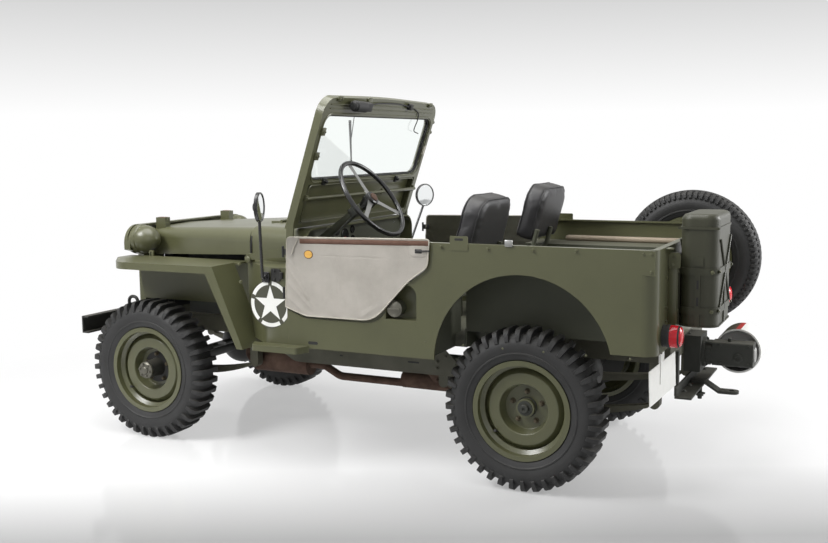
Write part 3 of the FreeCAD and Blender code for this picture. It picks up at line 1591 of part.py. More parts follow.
def windscreen():
    frame, height = screen_frame()
    doc.recompute()
    foot = number(d.cowl_top) + number(d.run_clear)
    reach = number(d.screen_half) + number(d.overrun)
    below = Part.makeBox(reach, reach * 2, foot, Vector(number(d.screen_base_ahead) - reach / 2, -reach, 0))
    leaning = coded("windscreen_leaning", leaned(frame.Shape).cut(below))
    pivot = point(d.screen_pivot_ahead, 0, d.screen_pivot_height)
    base = point(d.screen_base_ahead, 0, d.screen_base_height)
    pieces = [leaning]
    half = number(d.screen_half)
    thick = number(d.screen_arm_thick)
    deep = number(d.screen_arm_depth)
    up = Vector(-math.sin(lean), 0, math.cos(lean))
    back = Vector(-math.cos(lean), 0, -math.sin(lean))
    for side in (1, -1):
        out = Vector(0, half if side > 0 else -half + thick, 0)
        rise = number(d.run_clear)
        corners = [
            (pivot + Vector(0, 0, deep / 2) + out, None),
            (pivot + Vector(deep / 2, 0, 0) + out, deep / 4),
            (pivot + Vector(0, 0, -deep / 2 + rise) + out, deep / 4),
            (base + Vector(0, 0, -number(d.screen_sill)) + back * number(d.screen_leg_depth) + out, deep),
            (base + back * number(d.screen_leg_depth) + up * deep + out, None),
            (base + up * deep + out, None),
            (base + Vector(0, 0, -number(d.screen_sill) + deep) + back * (deep * 0.2) + out, deep / 2),
        ]
        arm = Part.Face(rounded_wire(corners)).extrude(Vector(0, -thick, 0))
        hole = Part.makeCylinder(number(d.screen_pin_radius) + number(d.seat_clear), thick * 3,
                                 pivot + out + Vector(0, thick, 0), Vector(0, -1, 0))
        pieces.append(coded("windscreen_arm", arm.cut(hole)))
    settle(join("windscreen_frame", pieces), "windscreen_frame")
    glass = body("windscreen_glass_sheet")
    leg = d.screen_leg_width
    pane = rectangle(-d.screen_half + leg + d.seat_clear, d.glass_bottom_up + d.seat_clear,
                     d.screen_half - leg - d.seat_clear, height - d.glass_top_down - d.seat_clear,
                     d.glass_corner - d.seat_clear)
    middle = d.screen_leg_depth / 2
    extrude(glass, "YZ_Plane", -middle - d.glass_thick, -middle, [pane])
    doc.recompute()
    placed("windscreen_glass", leaned(glass.Shape))


windscreen()


# Canvas half doors hung from their front edge, just outside the tub

def door(name, side):
    label = "door_" + name
    leaf = body(label + "_leaf")
    low = d.door_out if side > 0 else -d.door_out - d.door_thick
    front, rear = d.door_hinge_ahead, d.door_rear
    run = d.door_cut_corner
    dip = d.door_bottom_front - d.lower_corner_radius * 0.6
    fall = d.door_top_rear - dip
    outline = [
        (front, d.door_bottom_front), (front - d.lower_corner_radius / 4, d.door_top_front, run / 5),
        (rear, d.door_top_rear, run / 5), (rear + run * 0.1, dip + fall * 0.68, run / 2),
        (rear + run * 1.15, dip + fall * 0.50, run), (rear + run * 3.1, dip, run * 1.6),
        (front - run * 1.2, dip, run),
    ]
    extrude(leaf, "XZ_Plane", low, low + d.door_thick, [outline])
    pieces = [leaf]
    barrel = d.hinge_radius
    centre = (d.tub_half + d.seat_clear + barrel) * side
    for name, height in (("low", d.hinge_low), ("top", d.hinge_top)):
        pieces.append(rod(label + "_hinge_" + name, "z", (front + barrel, centre, height - d.hinge_tall / 2),
                          d.hinge_tall, barrel))
        near, far = low + d.door_thick / 4, low + d.door_thick * 0.75
        pieces.append(block(label + "_strap_" + name, (front - d.hinge_reach, near, height - d.hinge_tall / 2),
                            (front + barrel, far, height + d.hinge_tall / 2)))
    settle(join(label, pieces), label)


door("left", 1)
door("right", -1)


# Mirrors on arms from the cowl sides

def mirror(name, side, height, turn):
    """A round mirror turned from the car's line toward the driver."""
    head = point(d.mirror_head_ahead, (d.mirror_reach - d.mirror_radius) * side, height)
    root = point(d.mirror_base_ahead, (d.tub_half - d.rail_lip) * side, d.mirror_base_height)
    thick = number(d.mirror_thick)
    glass = Part.makeCylinder(number(d.mirror_radius), thick, head - Vector(thick / 2, 0, 0), Vector(1, 0, 0))
    glass = turned(glass, head, Vector(0, 0, 1), number(turn) * side)
    radius = number(d.mirror_arm_radius)
    knee = root + Vector(0, (number(d.rail_lip) + radius * 4) * side, 0)
    foot = Part.makeCylinder(radius * 2, number(d.rail_lip) + radius * 2, root, Vector(0, side, 0))
    shape = glass.fuse([
        tube([(knee - Vector(0, radius * 2 * side, 0), None), (knee, d.mirror_arm_radius * 1.4),
              (head - Vector(0, 0, number(d.mirror_radius) * 0.6), None)], radius), foot,
    ])
    return coded("mirror_" + name, shape.cut(cowl_tool.Shape).removeSplitter())


group("mirrors", [
    mirror("left", 1, d.mirror_head_height, d.mirror_left_angle),
    mirror("right", -1, d.mirror_head_height - d.mirror_right_drop, d.mirror_right_angle),
])


# Steering column and wheel

LEVERS = []


def steering():
    drop = number(d.steering_hub_length) - number(d.spoke_radius) * 1.6 + number(d.seat_clear)
    column = column_solid(number(d.column_radius), number(d.column_length), drop)
    LEVERS.append(coded("column_tube", column))
    hub_centre = point(d.column_hub_ahead, d.column_across, d.column_hub_height)
    heading = Vector(math.cos(column_tilt), 0, -math.sin(column_tilt))
    rim = Part.makeTorus(number(d.steering_wheel_radius), number(d.steering_rim_radius), hub_centre, heading)
    pieces = [Part.makeCylinder(number(d.steering_hub_radius), number(d.steering_hub_length),
                                hub_centre - heading * (number(d.spoke_radius) * 1.6), heading)]
    across = Vector(0, 1, 0)
    for turn in (90, 210, 330):
        inner = number(d.steering_hub_radius) / 2
        spoke = Part.makeCylinder(number(d.spoke_radius), number(d.steering_wheel_radius) - inner,
                                  hub_centre + across * inner, across)
        pieces.append(turned(spoke, hub_centre, heading, turn))
    placed("steering_wheel", rim.fuse(pieces).removeSplitter())


steering()


# Seats: bolted frames, a tank under the driver, and plain cushions and backs

LEDGE_SHARE = 0.3
SEAT_PLACES = {
    "driver": (d.driver_across, d.back_front, d.wheelhouse_top + d.run_clear, d.driver_across),
    "passenger": (-d.passenger_across, d.back_front - d.passenger_back,
                  d.wheelhouse_top + d.run_clear + d.passenger_lift,
                  d.seat_width * LEDGE_SHARE + d.run_clear - d.wheelhouse_inner),
}


def seat(name):
    across, back_front, back_low, _ = SEAT_PLACES[name]
    low, high = across - d.seat_width / 2, across + d.seat_width / 2
    cushion_low = d.seat_top - d.cushion_thick
    cushion = body(name + "_cushion")
    outline = rectangle(d.seat_back, low, d.seat_front, high, d.cushion_thick / 2)
    extrude(cushion, "XY_Plane", cushion_low, d.seat_top, [outline])
    rest = body(name + "_backrest")
    back_bottom = back_low + d.back_thick * math.sin(back_lean)
    tall = d.back_top - d.wheelhouse_top - d.run_clear - d.back_thick * math.sin(back_lean)
    outline = [
        (low, tall * 0, d.back_thick / 4), (high, tall * 0, d.back_thick / 4),
        (high, tall, d.back_corner), (low, tall, d.back_corner),
    ]
    extrude(rest, "YZ_Plane", -d.back_thick, d.back_thick * 0, [outline])
    rest.Placement = Placement(Vector(0, 0, 0), Rotation(Vector(0, 1, 0), -number(d.back_lean_angle)))
    bind(rest, Placement__Base__x=back_front, Placement__Base__z=back_bottom)
    return [cushion, rest]


group("driver_seat", seat("driver"))
group("passenger_seat", seat("passenger"))


def seat_frames():
    pieces = []
    floor_top = d.floor_top + d.seat_clear
    for name in SEAT_PLACES:
        across, back_front, back_low, post_across = SEAT_PLACES[name]
        low, high = across - d.seat_width / 2, across + d.seat_width / 2
        under = d.seat_top - d.cushion_thick - d.seat_clear
        deck = block(name + "_deck", (d.seat_back, low + d.seat_tube_radius, under - d.sheet),
                     (d.seat_front - d.cushion_thick / 4, high - d.seat_tube_radius, under))
        pieces.append(deck)
        for ahead in (d.seat_back + d.overrun * 2, d.seat_front - d.overrun * 3):
            for place in (low + d.overrun, high - d.overrun):
                pieces.append(rod(name + "_leg", "z", (ahead, place, floor_top), under - floor_top - d.sheet / 2,
                                  d.seat_tube_radius))
        ledge = d.seat_width * LEDGE_SHARE
        pieces.append(block(name + "_ledge", (d.seat_back - d.seat_tube_radius * 2, post_across - ledge, under - d.sheet),
                            (d.seat_back + d.overrun, post_across + ledge, under)))
        foot = point(d.seat_back - d.seat_tube_radius - d.seat_clear, post_across, under - d.sheet / 2)
        spine = Vector(-math.sin(back_lean), 0, math.cos(back_lean))
        off = Vector(-math.cos(back_lean), 0, -math.sin(back_lean))
        low_back = back_low + d.back_thick * math.sin(back_lean)
        corner = point(back_front, post_across, low_back) + off * number(d.back_thick + d.seat_clear + d.seat_tube_radius)
        top = corner + spine * number(d.back_thick * 0.75)
        for place in (-1, 1):
            shift = Vector(0, number(d.seat_width) * 0.25 * place, 0)
            bar = tube([(foot + shift, None), (foot + shift + Vector(0, 0, number(d.seat_tube_radius) * 3), d.seat_tube_radius * 2),
                        (corner - spine * number(d.seat_tube_radius) + shift, d.seat_tube_radius * 2), (top + shift, None)],
                       d.seat_tube_radius)
            pieces.append(coded(name + "_back_tube", bar))
    tank = block("fuel_tank", (d.seat_back + d.overrun * 3, d.driver_across - d.seat_width / 2 + d.overrun * 2, floor_top),
                 (d.seat_front - d.overrun * 4, d.driver_across + d.seat_width / 2 - d.overrun * 2,
                  floor_top + d.tank_height))
    group("seat_frames", [join("seat_stands", pieces), tank])


seat_frames()


# Side steps below the doors

def side_steps():
    pieces = []
    for name, side in (("left", 1), ("right", -1)):
        plate = body("step_plate_" + name)
        inner = d.tub_half + d.seat_clear
        taper = d.step_skirt
        outline = [
            (d.step_rear, side * inner), (d.step_front, side * inner), (d.step_front - taper, side * d.step_out, taper / 2),
            (d.step_rear + taper, side * d.step_out, taper / 2),
        ]
        extrude(plate, "XY_Plane", d.step_height - d.step_skirt, d.step_height, [outline])
        hollow = [
            (d.step_rear + d.step_sheet, side * (inner + d.step_sheet)),
            (d.step_front - d.step_sheet, side * (inner + d.step_sheet)),
            (d.step_front - taper - d.step_sheet, side * (d.step_out - d.step_sheet), taper / 3),
            (d.step_rear + taper + d.step_sheet, side * (d.step_out - d.step_sheet), taper / 3),
        ]
        extrude(plate, "XY_Plane", d.step_height - d.step_skirt - d.overrun, d.step_height - d.step_sheet, [hollow],
                cut=True)
        pieces.append(plate)
    steps = join("side_steps", pieces)
    settle(steps, "side_steps")


side_steps()


# Exhaust: silencer, pipe and the second can ahead of the rear wheel

def exhaust():
    across = number(d.muffler_across)
    height = number(d.muffler_height)
    low = number(d.pipe_low)
    bore = number(d.pipe_radius)
    rear, front = number(d.muffler_rear), number(d.muffler_front)
    first = Part.makeCylinder(number(d.muffler_radius), front - rear, Vector(rear, across, height), Vector(1, 0, 0))
    second = Part.makeCylinder(number(d.tail_can_radius), number(d.tail_can_front) - number(d.tail_can_rear),
                               Vector(number(d.tail_can_rear), across, low + bore), Vector(1, 0, 0))
    start = Vector(rear + bore, across, height)
    bend = bore * 4
    tail = tube([
        (start, None), (start - Vector(bore * 5, 0, 0), bend),
        (Vector(rear - number(d.muffler_radius) * 3, across, low), bend),
        (Vector(number(d.tail_can_front) - bore, across, low), None),
    ], bore)
    ahead = number(d.pipe_ahead)
    top = number(d.pipe_top)
    down = tube([
        (Vector(front - bore, across, height), None), (Vector(ahead, across, height), bore * 1.5),
        (Vector(ahead, across, top), bore * 1.5),
        (Vector(ahead, number(d.engine_half) + number(d.seat_clear), top), None),
    ], bore)
    placed("exhaust", first.fuse([tail, down, second]).removeSplitter())


exhaust()


# Spare wheel carrier on the right side

carrier_inner = d.tub_half + d.seat_clear
carrier_end = d.spare_across + d.disc_seat_in * -1 - d.seat_clear
settle(join("spare_carrier_parts", [
    rod("spare_carrier_boss", "y", (-d.spare_behind, -carrier_end, d.spare_height), carrier_end - carrier_inner,
        d.spare_hub_radius * 0.6),
    rod("spare_carrier_plate", "y", (-d.spare_behind, -carrier_inner - d.sheet, d.spare_height), d.sheet,
        d.spare_hub_radius),
]), "spare_carrier")


# Fuel can and its strap rack on the tail panel

def fuel_can():
    can = body("can_shell")
    low, high = d.can_right, d.can_left
    outline = rectangle(-d.can_rear, low, -d.can_front, high, d.can_corner)
    extrude(can, "XY_Plane", d.can_bottom, d.can_top, [outline])
    bead = d.can_bead
    rim = rectangle(-d.can_rear - bead, low - bead, -d.can_front + bead, high + bead, d.can_corner + bead)
    extrude(can, "XY_Plane", d.can_body_top, d.can_body_top + bead * 2, [rim])
    lid = [edge for edge in can.Shape.Edges if edge.BoundBox.ZMin > number(d.can_top - bead)]
    placed("fuel_can", can.Shape.makeFillet(number(d.can_top_round), lid))


fuel_can()


def can_rack():
    bar, wide = d.rack_bar, d.rack_width
    gap = d.seat_clear
    front, rear = -d.can_front + gap, -d.can_rear - gap
    low, high = d.can_right - gap, d.can_left + gap
    panel = -d.tub_rear - gap
    around = rectangle(rear - bar, low - bar, front + bar, high + bar, d.can_corner + bar)
    inside = rectangle(rear, low, front, high, d.can_corner)
    tray = body("rack_tray")
    extrude(tray, "XY_Plane", d.can_bottom - gap - bar, d.can_bottom - gap, [around])
    pieces = [tray]
    for name, level in (("low", d.can_bottom + wide * 1.7), ("top", d.rack_top - wide)):
        band = body("rack_band_" + name)
        extrude(band, "XY_Plane", level, level + wide, [around, inside])
        pieces.append(band)
    middle = (low + high) / 2
    for name, across in (("left", high), ("right", low - bar)):
        mid = -(d.can_front + d.can_rear) / 2 - wide * 0.4
        pieces.append(block("rack_upright_" + name, (mid, across, d.can_bottom - gap - bar),
                            (mid + wide * 0.8, across + bar, d.rack_top)))
    pieces.append(block("rack_upright_rear", (rear - bar, middle - wide / 2, d.can_bottom - gap - bar),
                        (rear, middle + wide / 2, d.rack_top)))
    for name, across in (("left", high - wide * 2), ("right", low + wide)):
        pieces.append(block("rack_post_" + name, (front, across, d.can_bottom - gap - bar),
                            (panel, across + wide, d.rack_top + wide)))
    settle(join("can_rack", pieces), "can_rack")


can_rack()


# Tail lamps on the tail panel's lower corners

def tail_lamps():
    pieces = []
    for name, side in (("left", 1), ("right", -1)):
        start = -d.tub_rear - d.seat_clear - d.lamp_case_depth
        pieces.append(rod("tail_lamp_" + name, "x", (start, d.lamp_case_across * side, d.lamp_case_height),
                          d.lamp_case_depth, d.lamp_case_radius))
    settle(join("tail_lamps", pieces), "tail_lamps")


tail_lamps()


# Power take-off case behind the frame, its arm, and the belt pulley that runs beside it

def power_take_off():
    rear = -d.power_case_behind - d.power_case_length
    height = d.pulley_height
    start = -d.rail_rear - d.seat_clear
    pieces = [
        block("power_case", (rear, -d.power_case_half, d.power_case_bottom),
              (start, d.power_case_half, d.power_case_bottom + d.power_case_height)),
        rod("power_flange", "x", (rear - d.power_flange_thick, d.power_case_half * 0, height), d.power_flange_thick,
            d.power_flange_radius),
        rod("power_neck", "x", (-d.power_arm_ahead, d.power_case_half * 0, height), d.power_arm_ahead + rear,
            d.power_neck_radius),
    ]
    arm = body("power_arm")
    half = d.power_arm_half
    low, top = height - d.power_arm_height / 2, height + d.power_arm_height / 2
    round_edge = d.power_flange_thick * 0.75
    extrude(arm, "YZ_Plane", -d.power_arm_rear, -d.power_arm_ahead, [rectangle(-half, low, half, top, round_edge)])
    pieces.append(arm)
    shaft_end = d.pulley_side + d.pulley_width / 2
    pieces.append(rod("power_shaft", "y", (-d.pulley_behind, -shaft_end, height), shaft_end,
                      d.pulley_hub_radius / 2))
    settle(join("power_take_off", pieces), "power_take_off")
    drum = body("belt_pulley")
    face = -d.pulley_side
    end = face - d.pulley_width
    hub = d.pulley_hub_radius
    wall = d.pulley_wall
    bore = hub / 2 + d.seat_clear
    middle = face - d.pulley_width / 2
    outline = [
        (face, d.pulley_radius), (face, d.pulley_radius - wall), (middle + wall, d.pulley_radius - wall),
        (middle + wall, hub), (middle + wall * 4, hub), (middle + wall * 4, bore), (middle - wall, bore),
        (middle - wall, d.pulley_radius - wall), (end, d.pulley_radius - wall), (end, d.pulley_radius),
    ]
    revolve(drum, [outline])
    bind(drum, Placement__Base__z=height)
    drum.setExpression("Placement.Base.x", formula(-d.pulley_behind - origin_ahead))
    drum.Label = "belt_pulley"
    NODES.append(drum)


power_take_off()


# Drawbar: a cross angle below the tail on two hangers, with the tongue and its pin hole

def tongue(start, edge, level):
    """A strip along the angle's flange that bends down to a flat eye."""
    half = number(d.tongue_half)
    eye = level - d.tongue_drop
    line = [(start, level), (edge, level), (-d.tongue_bend, eye), (-d.tongue_end, eye)]
    thick = d.drawbar_sheet * 1.5
    corners = [(point(ahead, -d.tongue_half, up), None) for ahead, up in line]
    corners += [(point(ahead, -d.tongue_half, up + thick), None) for ahead, up in reversed(line)]
    strip = slab(corners, Vector(0, half * 2, 0))
    low = number(eye - d.tongue_drop)
    end = -d.tongue_end
    outline = [(start, d.tongue_half, None), (end, d.tongue_half, half * 0.9), (end, -d.tongue_half, half * 0.9),
               (start, -d.tongue_half, None)]
    outline = [(point(ahead, across, low), radius) for ahead, across, radius in outline]
    tall = Vector(0, 0, number(d.tongue_drop) * 4)
    centre = point(end + d.tongue_half, d.tongue_half * 0, low)
    hole = Part.makeCylinder(number(d.tongue_hole_radius), tall.Length, centre)
    return coded("drawbar_tongue", strip.common(slab(outline, tall)).cut(hole))


def drawbar():
    angle = body("drawbar_angle")
    front, rear = -d.drawbar_behind, -d.drawbar_behind - d.drawbar_depth
    low, top = d.drawbar_bottom, d.drawbar_bottom + d.drawbar_height
    thick = d.drawbar_sheet
    section = [(rear, low), (front, low), (front, top), (front - thick, top), (front - thick, low + thick),
               (rear, low + thick)]
    extrude(angle, "XZ_Plane", -d.drawbar_half, d.drawbar_half, [section])
    pieces = [angle, tongue(front - thick * 2, rear, low + thick)]
    for name, side in (("left", 1), ("right", -1)):
        place = d.drawbar_half * 0.8 * side
        pieces.append(block("drawbar_hanger_" + name, (front - thick / 2, place - d.overrun / 2, low),
                            (-d.rail_rear - d.seat_clear, place + d.overrun / 2, d.rail_rear_bottom + d.rail_height / 2)))
    settle(join("drawbar", pieces), "drawbar")


drawbar()


# Blank licence plate and its hanger below the left rear corner

def licence_plate():
    """The plate hangs turned a little toward the left, on a strap below the cargo floor."""
    wide, tall = number(d.plate_width), number(d.plate_height)
    corner = point(-d.plate_behind, d.plate_across, d.plate_top)
    plate = Part.makeBox(number(d.plate_thick), wide, tall, corner - Vector(number(d.plate_thick), wide, tall))
    plate = turned(plate, corner, Vector(1, 0, 0), -number(d.plate_roll_angle))
    plate = turned(plate, corner, Vector(0, 0, 1), -number(d.plate_turn_angle))
    back = wide / 2 * math.sin(math.radians(number(d.plate_turn_angle)))
    strap = number(d.hanger_sheet)
    half = number(d.overrun)
    low = number(d.plate_top) - tall / 2
    foot = Vector(corner.x - back - strap / 4, corner.y - wide / 2 - half, low)
    hanger = Part.makeBox(strap, half * 2, number(d.cargo_floor - d.sheet - d.seat_clear) - low, foot)
    placed("licence_plate", plate.fuse(hanger).removeSplitter())


licence_plate()


# Fuel filler cap on the left side

filler_start = d.tub_half - d.sheet - d.filler_depth + d.seat_clear
settle(rod("fuel_filler", "y", (d.filler_ahead, filler_start, d.filler_height), d.filler_depth - d.seat_clear,
           d.filler_radius), "fuel_filler")


# Levers in the cabin

def lever(label, ahead, across, tall, tilt):
    """A knobbed lever in its boot on the cabin floor."""
    base = point(ahead, across, d.floor_top + d.seat_clear)
    boot = Part.makeCylinder(number(d.lever_boot_radius), number(d.lever_boot_tall), base)
    start = base + Vector(0, 0, number(d.lever_boot_tall) / 2)
    end = start + Vector(-number(tilt), 0, number(tall))
    bar = Part.makeCylinder(number(d.lever_radius), (end - start).Length, start, end - start)
    knob = Part.makeSphere(number(d.lever_knob_radius), end)
    LEVERS.append(coded(label, bar.fuse([boot, knob]).removeSplitter()))


lever("gear_lever", d.gear_lever_ahead, d.gear_lever_ahead * 0, d.gear_lever_tall, d.gear_lever_tilt)
for count in (0, 1):
    lever("drive_lever_%d" % (count + 1), d.drive_lever_ahead - d.drive_lever_pitch * count,
          -d.drive_lever_across - d.drive_lever_pitch * count, d.drive_lever_tall, d.drive_lever_tilt)
group("column_and_levers", LEVERS)


# Checks, then one file for each sub-part

doc.recompute()
for thing in doc.Objects:
    for state in thing.State:
        if state in ("Invalid", "Error"):
            raise ValueError("%s (%s) did not build: %s" % (thing.Name, thing.Label, thing.State))
for node in NODES:
    if node.Shape.isNull() or not node.Shape.isValid() or not node.Shape.Solids:
        raise ValueError("%s has no valid solid" % node.Label)

os.makedirs("parts", exist_ok=True)
for node in NODES:
    node.Shape.exportStep(os.path.join("parts", node.Label + ".step"))
    box = node.Shape.BoundBox
    print("%-18s solids %2d  x %8.1f %8.1f  y %7.1f %7.1f  z %7.1f %7.1f" % (
        node.Label, len(node.Shape.Solids), box.XMin, box.XMax, box.YMin, box.YMax, box.ZMin, box.ZMax))
print("%d sub-parts" % len(NODES))
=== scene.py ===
# %% [markdown]
# # An army 4x4 car in olive paint
# The packed model gives every rigid panel in its true place. This notebook dresses it: it paints
# the panels, moulds the tyres, sews the canvas doors and the seats, and adds the small fittings
# that a car of this kind carries. Every cell makes one thing and prints what it made.

# %% The packed model and its size before anything is added
import math

import bmesh
import bpy
from mathutils import Matrix, Vector, noise
from mathutils.bvhtree import BVHTree
from mathutils.kdtree import KDTree


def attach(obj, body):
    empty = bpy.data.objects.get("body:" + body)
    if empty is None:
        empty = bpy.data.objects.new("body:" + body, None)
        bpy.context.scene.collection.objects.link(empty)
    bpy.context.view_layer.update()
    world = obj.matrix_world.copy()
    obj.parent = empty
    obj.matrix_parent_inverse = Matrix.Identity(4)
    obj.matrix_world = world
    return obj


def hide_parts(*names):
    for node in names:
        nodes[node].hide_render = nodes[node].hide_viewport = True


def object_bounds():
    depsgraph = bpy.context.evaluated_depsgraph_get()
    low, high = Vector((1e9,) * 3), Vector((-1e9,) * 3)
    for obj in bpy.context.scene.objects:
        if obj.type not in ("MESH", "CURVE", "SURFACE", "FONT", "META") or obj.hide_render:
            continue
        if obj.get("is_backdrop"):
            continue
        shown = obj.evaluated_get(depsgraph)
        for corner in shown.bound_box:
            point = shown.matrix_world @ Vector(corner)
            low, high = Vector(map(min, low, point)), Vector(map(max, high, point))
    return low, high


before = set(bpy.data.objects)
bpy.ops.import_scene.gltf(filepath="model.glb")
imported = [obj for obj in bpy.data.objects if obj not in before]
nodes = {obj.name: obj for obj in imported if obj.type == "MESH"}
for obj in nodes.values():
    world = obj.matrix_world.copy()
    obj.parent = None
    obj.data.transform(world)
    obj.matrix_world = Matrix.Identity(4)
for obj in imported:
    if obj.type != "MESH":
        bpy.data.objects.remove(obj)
cad_low, cad_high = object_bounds()

# %% [markdown]
# ## Shader groups
# Paint, rubber, cloth and castings share the same few effects: a slow change of tone, dust that
# lies on what faces up, and edges made lighter, partly as wear and partly as a painted highlight.
# Each effect is one node group with named sockets. It could also be painted by hand on every part,
# but a group keeps one place to edit.

# %% A helper that starts a shader group with its sockets


def start_group(name, inputs, outputs):
    """A new node group with named sockets, and its input and output nodes."""
    group = bpy.data.node_groups.new(name, "ShaderNodeTree")
    for label, kind, value in inputs:
        socket = group.interface.new_socket(name=label, in_out="INPUT", socket_type=kind)
        socket.default_value = value
    for label, kind in outputs:
        group.interface.new_socket(name=label, in_out="OUTPUT", socket_type=kind)
    return group, group.nodes.new("NodeGroupInput"), group.nodes.new("NodeGroupOutput")


def add_node(tree, kind, **values):
    """A node with settings; a name that the node itself lacks is the name of one of its sockets."""
    node = tree.nodes.new(kind)
    for name, value in values.items():
        if hasattr(node, name):
            setattr(node, name, value)
        else:
            node.inputs[name.replace("_", " ")].default_value = value
    return node


def remap(tree, source, low, high, to_low, to_high):
    """A Map Range node fed from a socket, clamped at both ends."""
    node = tree.nodes.new("ShaderNodeMapRange")
    tree.links.new(source, node.inputs["Value"])
    for label, value in (("From Min", low), ("From Max", high), ("To Min", to_low), ("To Max", to_high)):
        node.inputs[label].default_value = value
    return node.outputs["Result"]


def calculate(tree, operation, first, second):
    """A Math node between two sockets or numbers."""
    node = add_node(tree, "ShaderNodeMath", operation=operation)
    for slot, value in enumerate((first, second)):
        if hasattr(value, "links"):
            tree.links.new(value, node.inputs[slot])
        else:
            node.inputs[slot].default_value = value
    return node.outputs[0]


def blend_color(tree, factor, first, second, mode="MIX"):
    """A Mix node for colours, fed by sockets or plain colours."""
    node = add_node(tree, "ShaderNodeMix", data_type="RGBA", blend_type=mode)
    for label, value in (("Factor", factor), ("A", first), ("B", second)):
        socket = [s for s in node.inputs if s.name == label and s.enabled][0]
        if hasattr(value, "links"):
            tree.links.new(value, socket)
        else:
            socket.default_value = value
    return [s for s in node.outputs if s.enabled][0]


# %% [markdown]
# ## Aged surface
# A real coat of flat paint is never one colour. It is a touch darker in slow clouds, dusty where
# it faces up and lighter along its edges, partly as wear and partly as a painted highlight. The
# Bevel node gives a normal that is rounded near edges, so the places where it leaves the true
# normal are the edges.

# %% The group "aged surface"
CLOUD_TINT = (0.62, 0.62, 0.6, 1)
EDGE_WEAR_AND_HIGHLIGHT_RADIUS = 0.0035
ROUGHEST = 0.98
aged, aged_in, aged_out = start_group(
    "aged surface",
    [
        ("Color", "NodeSocketColor", (0.5, 0.5, 0.5, 1)),
        ("Cloud Size", "NodeSocketFloat", 4.0),
        ("Cloud", "NodeSocketFloat", 0.3),
        ("Dust Color", "NodeSocketColor", (0.3, 0.28, 0.22, 1)),
        ("Dust", "NodeSocketFloat", 0.2),
        ("Edge Color", "NodeSocketColor", (0.3, 0.3, 0.3, 1)),
        ("Edge", "NodeSocketFloat", 0.3),
        ("Roughness", "NodeSocketFloat", 0.5),
    ],
    [("Color", "NodeSocketColor"), ("Roughness", "NodeSocketFloat")],
)
place = add_node(aged, "ShaderNodeTexCoord")
cloud = add_node(aged, "ShaderNodeTexNoise", Detail=5.0, Roughness=0.6)
aged.links.new(place.outputs["Object"], cloud.inputs["Vector"])
aged.links.new(aged_in.outputs["Cloud Size"], cloud.inputs["Scale"])
cloud_mask = calculate(aged, "MULTIPLY", remap(aged, cloud.outputs["Fac"], 0.35, 0.68, 0, 1),
                       aged_in.outputs["Cloud"])
darker = blend_color(aged, 1.0, aged_in.outputs["Color"], CLOUD_TINT, "MULTIPLY")
clouded = blend_color(aged, cloud_mask, aged_in.outputs["Color"], darker)

fine = add_node(aged, "ShaderNodeTexNoise", Scale=38.0, Detail=4.0)
aged.links.new(place.outputs["Object"], fine.inputs["Vector"])
facing = add_node(aged, "ShaderNodeSeparateXYZ")
aged.links.new(place.outputs["Normal"], facing.inputs[0])
upward = remap(aged, facing.outputs["Z"], 0.35, 1.0, 0, 1)
dust_mask = calculate(aged, "MULTIPLY", calculate(aged, "MULTIPLY", upward, fine.outputs["Fac"]),
                      aged_in.outputs["Dust"])
dusted = blend_color(aged, dust_mask, clouded, aged_in.outputs["Dust Color"])

# Edges are made lighter, partly as wear and partly as a painted highlight
rounded = add_node(aged, "ShaderNodeBevel", samples=4, Radius=EDGE_WEAR_AND_HIGHLIGHT_RADIUS)
surface = add_node(aged, "ShaderNodeNewGeometry")
turn = add_node(aged, "ShaderNodeVectorMath", operation="DOT_PRODUCT")
aged.links.new(rounded.outputs["Normal"], turn.inputs[0])
aged.links.new(surface.outputs["Normal"], turn.inputs[1])
edge = remap(aged, turn.outputs["Value"], 0.985, 0.86, 0, 1)
wear_and_highlight_patches = remap(aged, fine.outputs["Fac"], 0.45, 0.62, 0.15, 1)
wear_and_highlight_mask = calculate(aged, "MULTIPLY", calculate(aged, "MULTIPLY", edge, wear_and_highlight_patches), aged_in.outputs["Edge"])
aged.links.new(blend_color(aged, wear_and_highlight_mask, dusted, aged_in.outputs["Edge Color"]), aged_out.inputs["Color"])
duller = calculate(aged, "MULTIPLY", cloud_mask, 0.16)
dusty = calculate(aged, "MULTIPLY", dust_mask, 0.35)
rough = calculate(aged, "ADD", aged_in.outputs["Roughness"], calculate(aged, "ADD", duller, dusty))
aged.links.new(calculate(aged, "MINIMUM", rough, ROUGHEST), aged_out.inputs["Roughness"])
print("group", aged.name, len(aged.nodes), "nodes")

# %% [markdown]
# ## Grain, pebble and weave
# Castings and paint have a fine random grain, vinyl has small pebbles with creases between them,
# and canvas has threads that cross. Each group turns its pattern into a normal through a Bump
# node, so the surface stays flat and only the light on it changes.

# %% The groups "grain" and "pebble"


def bumped(tree, height, group_in, group_out):
    """Feed a height through a Bump node whose depth is the group's own input."""
    bump = add_node(tree, "ShaderNodeBump", Distance=0.001)
    tree.links.new(group_in.outputs["Depth"], bump.inputs["Strength"])
    tree.links.new(height, bump.inputs["Height"])
    tree.links.new(bump.outputs["Normal"], group_out.inputs["Normal"])


def start_relief(name, size):
    """A group that has a size and a depth, and gives a normal."""
    sockets = [("Size", "NodeSocketFloat", size), ("Depth", "NodeSocketFloat", 0.3)]
    tree, inside, outside = start_group(name, sockets, [("Normal", "NodeSocketVector")])
    spot = add_node(tree, "ShaderNodeTexCoord")
    return tree, inside, outside, spot


grain, grain_in, grain_out, spot = start_relief("grain", 300.0)
speck = add_node(grain, "ShaderNodeTexNoise", Detail=3.0)
grain.links.new(spot.outputs["Object"], speck.inputs["Vector"])
grain.links.new(grain_in.outputs["Size"], speck.inputs["Scale"])
bumped(grain, speck.outputs["Fac"], grain_in, grain_out)

